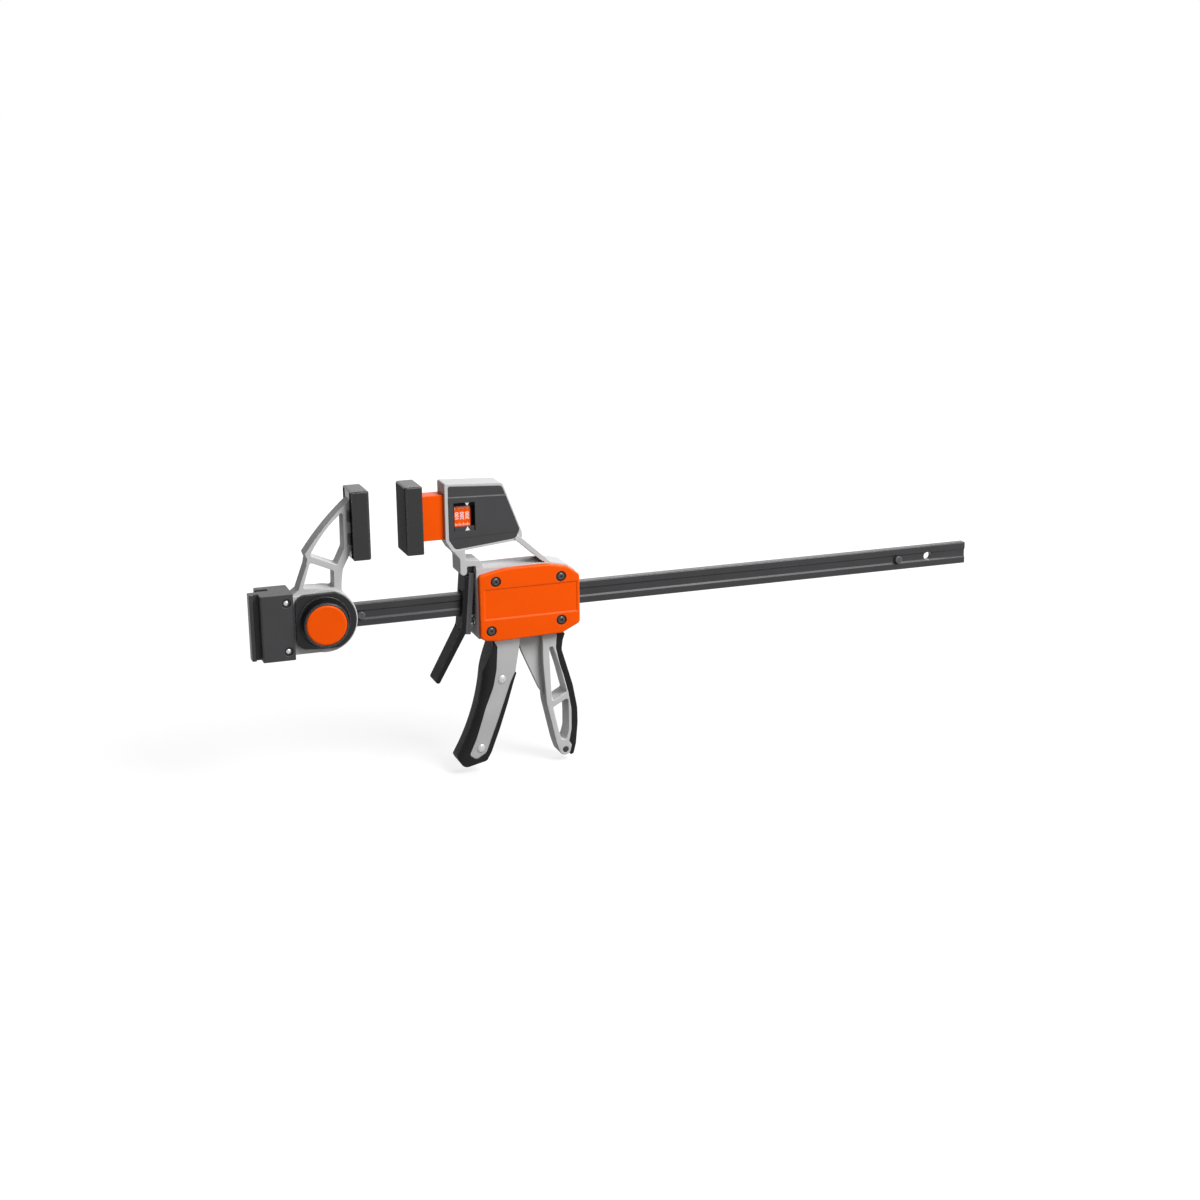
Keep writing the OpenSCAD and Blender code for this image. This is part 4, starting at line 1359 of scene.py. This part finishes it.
@dataclass
class PressureGauge:
    """The moving pad on its sprung block, with the scale that shows in the windows."""

    pad_face: float = 28.6
    pad_back: float = 43.0
    pad_land: float = 16.2
    block_edge: float = 0.7
    block_shown: float = 0.2
    scale_face: float = 7.9
    recess_face: float = 10.5
    scale_left: float = 8.6
    scale_right: float = 21.6
    plate_x: Span = (22.0, 25.4)
    plate_y: Span = (7.85, 8.12)
    plate_z: Span = (-11.6, 11.6)
    plate_edge: float = 0.08
    tick_margin: float = 0.3
    tick_pitch: float = 1.16
    tick_width: float = 0.42
    tick_short: float = 0.8
    tick_rows: tuple[Span, ...] = ((5.2, 7.4), (-8.2, -6.0))
    numbers: tuple[str, ...] = ("100", "200", "300")
    number_size: float = 4.3
    number_bold: float = 0.06
    number_z: float = -0.4
    proud: float = 0.05
    pointers: tuple[Triple, ...] = ((18.8, 10.9, 8.1), (18.7, -12.2, -8.8))
    pointer_half: float = 2.0
    pointer_proud: float = 0.12
    # Painted shadow: dark strips above each window and at its ends, where its recess is shaded
    painted_shadow_y: Span = (10.2, 10.54)
    painted_shadow_edge: float = 0.02
    painted_shadows: tuple[tuple[float, float, float, float], ...] = (
        (7.25, 8.4, 24.95, 10.95), (7.25, -12.35, 8.0, 8.38), (24.4, -12.35, 24.95, 8.38),
    )

    def block_width(self, brink: Brink) -> float:
        """Rounds the block's four long edges where it shows."""
        return self.block_edge if brink.middle.x < HEAD_X + self.block_shown else 0.0

    def ticks(self, side: Side) -> list[Object]:
        """Models the rows of ticks on the scale.

        Args:
            side: The face that they are on.

        Returns:
            The ticks.
        """
        made = []
        room = self.scale_right - self.scale_left - self.tick_margin - self.tick_width
        faces = side.depths(self.scale_face, self.scale_face + self.proud)
        for row, (low, high) in enumerate(self.tick_rows):
            for step in range(int(room / self.tick_pitch) + 1):
                x = HEAD_X + self.scale_left + self.tick_margin + step * self.tick_pitch
                reach = 0.0 if step % 3 == 0 else self.tick_short
                ends = (low, high - reach) if row else (low + reach, high)
                made.append(slab("tick", (x, x + self.tick_width), faces, ends))
        return made

    def number(self, text: str, place: Vector, side: Side) -> Object:
        """Models one number of the scale, reading upwards.

        Args:
            text: The digits.
            place: The number's middle, in millimetres.
            side: The face that it is on.

        Returns:
            The number as a mesh.
        """
        bpy.ops.object.text_add(location=(0, 0, 0))
        made = bpy.context.active_object
        made.data.body = text
        made.data.size = self.number_size * MM
        made.data.align_x = made.data.align_y = "CENTER"
        made.data.extrude = self.proud * MM / 2
        made.data.offset = self.number_bold * MM
        made.data.resolution_u = 4
        pick(made)
        bpy.ops.object.convert(target="MESH")
        made = bpy.context.active_object
        quarter = math.radians(90.0)
        turn = Matrix.Rotation(quarter, 4, "X") @ Matrix.Rotation(quarter, 4, "Z")
        if side is Side.BACK:
            turn = Matrix.Rotation(math.pi, 4, "Z") @ turn
        made.data.transform(Matrix.Translation(place * MM) @ turn)
        return made

    def scale_marks(self, side: Side) -> Object:
        """Models the white ticks and numbers on one face of the block.

        Args:
            side: Front or back.

        Returns:
            The marks as one piece.
        """
        marks = self.ticks(side)
        pitch = (self.scale_right - self.scale_left) / len(self.numbers)
        level = side.value * (self.scale_face + self.proud / 2)
        for index, text in enumerate(self.numbers):
            x = HEAD_X + self.scale_left + pitch * (index + 0.5)
            marks.append(self.number(text, Vector((x, level, self.number_z)), side))
        return joined(f"scale_marks_{side.word}", *marks)

    def scale_end(self, side: Side) -> Object:
        """Models the dark plate where the scale ends, in the black of the painted window shadow.

        Args:
            side: Front or back.

        Returns:
            The plate.
        """
        left, right = (HEAD_X + end for end in self.plate_x)
        faces = side.depths(*self.plate_y)
        made = slab(f"scale_end_{side.word}", (left, right), faces, self.plate_z)
        round_edges(made, even(self.plate_edge), 2)
        return made

    def window_shade(self, side: Side) -> Object:
        """Models painted shadow: a dark mask on the ledge round a window, above it and at its ends,
        where the recess lies in shade.

        Args:
            side: Front or back.

        Returns:
            The mask as one piece.
        """
        strips = []
        faces = side.depths(*self.painted_shadow_y)
        for left, low, right, high in self.painted_shadows:
            strip = slab("strip", (HEAD_X + left, HEAD_X + right), faces, (low, high))
            round_edges(strip, even(self.painted_shadow_edge), 2)
            strips.append(strip)
        return joined(f"window_shade_{side.word}", *strips)

    def pointer(self, side: Side, index: int) -> Object:
        """Models one of the two triangles that point at the scale.

        Args:
            side: Front or back.
            index: 0 for the upper pointer, 1 for the lower one.

        Returns:
            The triangle.
        """
        x, foot, tip = self.pointers[index]
        bpy.ops.mesh.primitive_cylinder_add(vertices=3, radius=1.0, depth=1.0)
        made = bpy.context.active_object
        made.name = f"pointer_{'low' if index else 'high'}_{side.word}"
        level = side.value * self.recess_face
        out = level + side.value * self.pointer_proud
        corners = [(-self.pointer_half, foot), (self.pointer_half, foot), (0.0, tip)]
        order = sorted(range(3), key=lambda spot: math.atan2(*made.data.vertices[spot * 2].co.xy))
        for spot, corner in zip(order, corners):
            for end in (0, 1):
                vertex = made.data.vertices[spot * 2 + end]
                y = out if vertex.co.z > 0 else level
                vertex.co = Vector((HEAD_X + x + corner[0], y, corner[1])) * MM
        select_faces(made, lambda face: True)
        bpy.ops.mesh.normals_make_consistent(inside=False)
        bpy.ops.object.mode_set(mode="OBJECT")
        return made

    def build(self) -> None:
        """Builds and dresses the pad, the block, the scale, the painted window shadow and the
        pointers.
        """
        pad = JawPad(self.pad_face, self.pad_back, self.pad_land).build("gauge_pad")
        dress(pad, PAD_BLACK, Body.GAUGE, "moving_pad")
        remade("gauge_block", "gauge_slide", ORANGE_GLOSS, Body.GAUGE, self.block_width)
        for side in Side:
            dress(self.scale_marks(side), SCALE_WHITE, Body.GAUGE)
            dress(self.scale_end(side), PAINTED_SHADOW_BLACK, Body.GAUGE)
            # Painted shadow round the window, riding on the head
            dress(self.window_shade(side), PAINTED_SHADOW_BLACK, Body.HEAD)
            for index in range(2):
                dress(self.pointer(side, index), SCALE_WHITE, Body.HEAD)
        redress(ZINC_STEEL, "gauge_spring")


@dataclass
class Trigger:
    """The squeezed trigger: two steel plates, a rubber grip, rivets and the cam."""

    plate_edge: float = 0.25
    grip_edge: float = 0.5
    grip_smooth: float = 60.0
    rivets: tuple[Span, ...] = ((44.4, -65.7), (24.9, -123.5))
    rivet_seat: float = 10.3
    rivet_shank: Span = (2.0, 0.3)
    rivet_dome: Span = (3.7, 1.3)

    def build(self) -> None:
        """Builds and dresses the trigger's pieces."""
        for side in Side:
            remade(f"trigger_plate_{side.word}", f"trigger_cheek_{side.word}", TRIGGER_STEEL,
                   Body.TRIGGER, even(self.plate_edge))
        grip = rounded("trigger_grip", "trigger_rubber", even(self.grip_edge))
        smooth(grip, self.grip_smooth)
        dress(grip, GRIP_RUBBER, Body.TRIGGER, "trigger_grip")
        places = [(x + HEAD_X, z + BAR_Z) for x, z in self.rivets]
        rivets = domed_pins("trigger_rivet_heads", places, self.rivet_seat, self.rivet_shank,
                            self.rivet_dome)
        dress(rivets, RIVET_STEEL, Body.TRIGGER, "trigger_rivets")
        redress(ZINC_STEEL, "trigger_cam", "cam_rivet")


@dataclass
class Drive:
    """The drive plates that grip the bar, with their return spring."""

    def build(self) -> None:
        """Dresses the plates and the spring."""
        redress(PLATE_STEEL, "drive_plates")
        redress(ZINC_STEEL, "drive_spring")


@dataclass
class ReleaseLever:
    """The release lever with its brake plates, rivets and spring."""

    lever_edge: float = 0.6
    slot_edge: float = 0.2
    slot_half: float = 5.0
    slot_foot: float = -98.0
    rivet_y: float = 5.6
    rivet_z: float = -95.4
    rivet_reach: Span = (1.7, 2.5)
    plate_edge: float = 0.2

    def lever_width(self, brink: Brink) -> float:
        """Rounds the lever outside and leaves the slot for the bar nearly sharp.

        Args:
            brink: The edge.

        Returns:
            Its width, in millimetres.
        """
        y, z = abs(brink.middle.y), brink.middle.z
        across, along = self.rivet_reach
        if abs(y - self.rivet_y) < across and abs(z - self.rivet_z) < along:
            return 0.0
        return self.slot_edge if y < self.slot_half and z > self.slot_foot else self.lever_edge

    def build(self) -> None:
        """Builds and dresses the lever and its plates."""
        remade("release_lever", "finger_lever", LEVER_BLACK, Body.RELEASE, self.lever_width)
        remade("brake_plates", "brake_plate_pair", PLATE_STEEL, Body.RELEASE, even(self.plate_edge))
        redress(PLATE_STEEL, "lever_rivets")
        redress(ZINC_STEEL, "brake_spring")


# ---------------------------------------------------------------- studio


@dataclass
class Studio:
    """The floor, the light and the camera."""

    lens: float = 60.05
    place: Triple = (-0.34204, -1.52748, 0.35621)
    azimuth: float = 19.4273
    elevation: float = 15.2362
    roll: float = -0.7194
    floor_size: float = 40.0
    # The trigger's foot swings 4.8 mm below the handle's at full squeeze
    floor_drop: float = 0.0054
    ambient: float = 0.22
    floor_glow: Span = (0.78, 1.0)
    floor_tone: float = 0.24
    tone_swing: float = 0.01
    aim: Triple = (0.15, 0.0, -0.09)
    lamps: tuple[tuple[str, Triple, float, float], ...] = (
        ("key_lamp", (0.90, -1.08, 1.14), 0.9, 37.5),
        ("front_lamp", (0.75, -2.35, 0.60), 1.0, 5.0),
        ("back_lamp", (0.90, 1.30, 1.10), 1.0, 17.0),
    )

    def add_camera(self) -> None:
        """Adds the camera and makes it the scene's."""
        turns = (self.azimuth, self.elevation, self.roll)
        azimuth, elevation, roll = (math.radians(turn) for turn in turns)
        ahead = Vector((
            math.sin(azimuth) * math.cos(elevation),
            math.cos(azimuth) * math.cos(elevation),
            -math.sin(elevation),
        ))
        right = ahead.cross(Vector((0, 0, 1))).normalized()
        up = right.cross(ahead)
        across = right * math.cos(roll) + up * math.sin(roll)
        upright = up * math.cos(roll) - right * math.sin(roll)
        lens = bpy.data.cameras.new("studio_camera")
        lens.lens = self.lens
        lens.sensor_width = 36.0
        lens.clip_start, lens.clip_end = 0.05, 100.0
        camera = bpy.data.objects.new("studio_camera", lens)
        turned = Matrix((across, upright, -ahead)).transposed().to_4x4()
        camera.matrix_world = Matrix.Translation(self.place) @ turned
        bpy.context.scene.collection.objects.link(camera)
        bpy.context.scene.camera = camera

    def add_lamp(self, name: str, place: Triple, size: float, power: float) -> None:
        """Adds a soft square lamp that points at the clamp.

        Args:
            name: The lamp's name.
            place: Where it hangs, in metres.
            size: Its side, in metres.
            power: Its power, in watts.
        """
        light = bpy.data.lights.new(name, "AREA")
        light.shape = "SQUARE"
        light.size = size
        light.energy = power
        lamp = bpy.data.objects.new(name, light)
        lamp.location = place
        ahead = Vector(self.aim) - Vector(place)
        lamp.rotation_euler = ahead.to_track_quat("-Z", "Y").to_euler()
        bpy.context.scene.collection.objects.link(lamp)

    def seen_directly(self, sheet: ShaderSheet) -> Socket:
        """Finds the rays that come from the camera, or from it by gloss or through glass.

        Args:
            sheet: The node tree.

        Returns:
            1 for such a ray and 0 for others.
        """
        path = sheet.node("ShaderNodeLightPath")
        some = sheet.added(path.outputs["Is Camera Ray"], path.outputs["Is Glossy Ray"])
        made = sheet.added(some, path.outputs["Is Transmission Ray"])
        made.node.use_clamp = True
        return made

    def add_world(self) -> None:
        """Adds a white surround that lights the clamp evenly."""
        world = bpy.data.worlds.new("studio_world")
        bpy.context.scene.world = world
        sheet = ShaderSheet(world)
        background = sheet.node("ShaderNodeBackground")
        background.inputs["Color"].default_value = (1.0, 1.0, 1.0, 1.0)
        sheet.link(sheet.spread(self.seen_directly(sheet), 0.0, 1.0, self.ambient, 1.0),
                   background.inputs["Strength"])
        out = sheet.node("ShaderNodeOutputWorld")
        sheet.link(background.outputs["Background"], out.inputs["Surface"])

    def add_floor(self, level: float) -> None:
        """Adds a pale floor that shows white and keeps the clamp's shadow.

        Args:
            level: The floor's height, in metres.
        """
        bpy.ops.mesh.primitive_plane_add(size=self.floor_size, location=(0.2, 0.0, level))
        floor = bpy.context.active_object
        floor.name = "studio_floor"
        sheet = ShaderSheet(bpy.data.materials.new("pale_floor"))
        coordinates = sheet.node("ShaderNodeTexCoord").outputs["Object"]
        paint = sheet.node("ShaderNodeBsdfDiffuse")
        cloud = sheet.noise(coordinates, 3.0, 2.0)
        tones = [(self.floor_tone + shift,) * 3 for shift in (-self.tone_swing, self.tone_swing)]
        sheet.link(sheet.blended(cloud, *tones), paint.inputs["Color"])
        glow = sheet.node("ShaderNodeEmission")
        glow.inputs["Color"].default_value = (1.0, 1.0, 1.0, 1.0)
        fall = sheet.node("ShaderNodeTexGradient", gradient_type="SPHERICAL")
        reach = sheet.node("ShaderNodeMapping")
        reach.inputs["Scale"].default_value = (0.5, 0.5, 0.5)
        sheet.link(coordinates, reach.inputs["Vector"])
        sheet.link(reach.outputs["Vector"], fall.inputs["Vector"])
        near, far = self.floor_glow
        strength = sheet.spread(fall.outputs["Fac"], 0.2, 0.9, far, near)
        sheet.link(sheet.times(self.seen_directly(sheet), strength), glow.inputs["Strength"])
        both = sheet.node("ShaderNodeAddShader")
        sheet.link(paint.outputs["BSDF"], both.inputs[0])
        sheet.link(glow.outputs["Emission"], both.inputs[1])
        out = sheet.node("ShaderNodeOutputMaterial")
        sheet.link(both.outputs["Shader"], out.inputs["Surface"])
        floor.data.materials.append(sheet.owner)
        floor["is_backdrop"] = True

    def build(self, foot: float) -> None:
        """Sets up the whole studio.

        Args:
            foot: The height of the clamp's lowest place at rest, in metres.
        """
        self.add_camera()
        self.add_world()
        self.add_floor(foot - self.floor_drop)
        for lamp in self.lamps:
            self.add_lamp(*lamp)
        bpy.context.scene.view_settings.view_transform = "Standard"


def main() -> None:
    """Builds the clamp's looks, sub-assembly by sub-assembly, and the studio round them."""
    solid_box = [list(corner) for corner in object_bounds()]
    bpy.ops.object.select_all(action="DESELECT")
    Studio().build(solid_box[0][2])
    parts = (Bar, FixedJaw, LockKnob, Head, PressureGauge, Trigger, Drive, ReleaseLever)
    for part in parts:
        LOG.info("-- %s", part.__name__)
        part().build()
    bpy.ops.object.select_all(action="DESELECT")


if __name__ == "__main__":
    main()
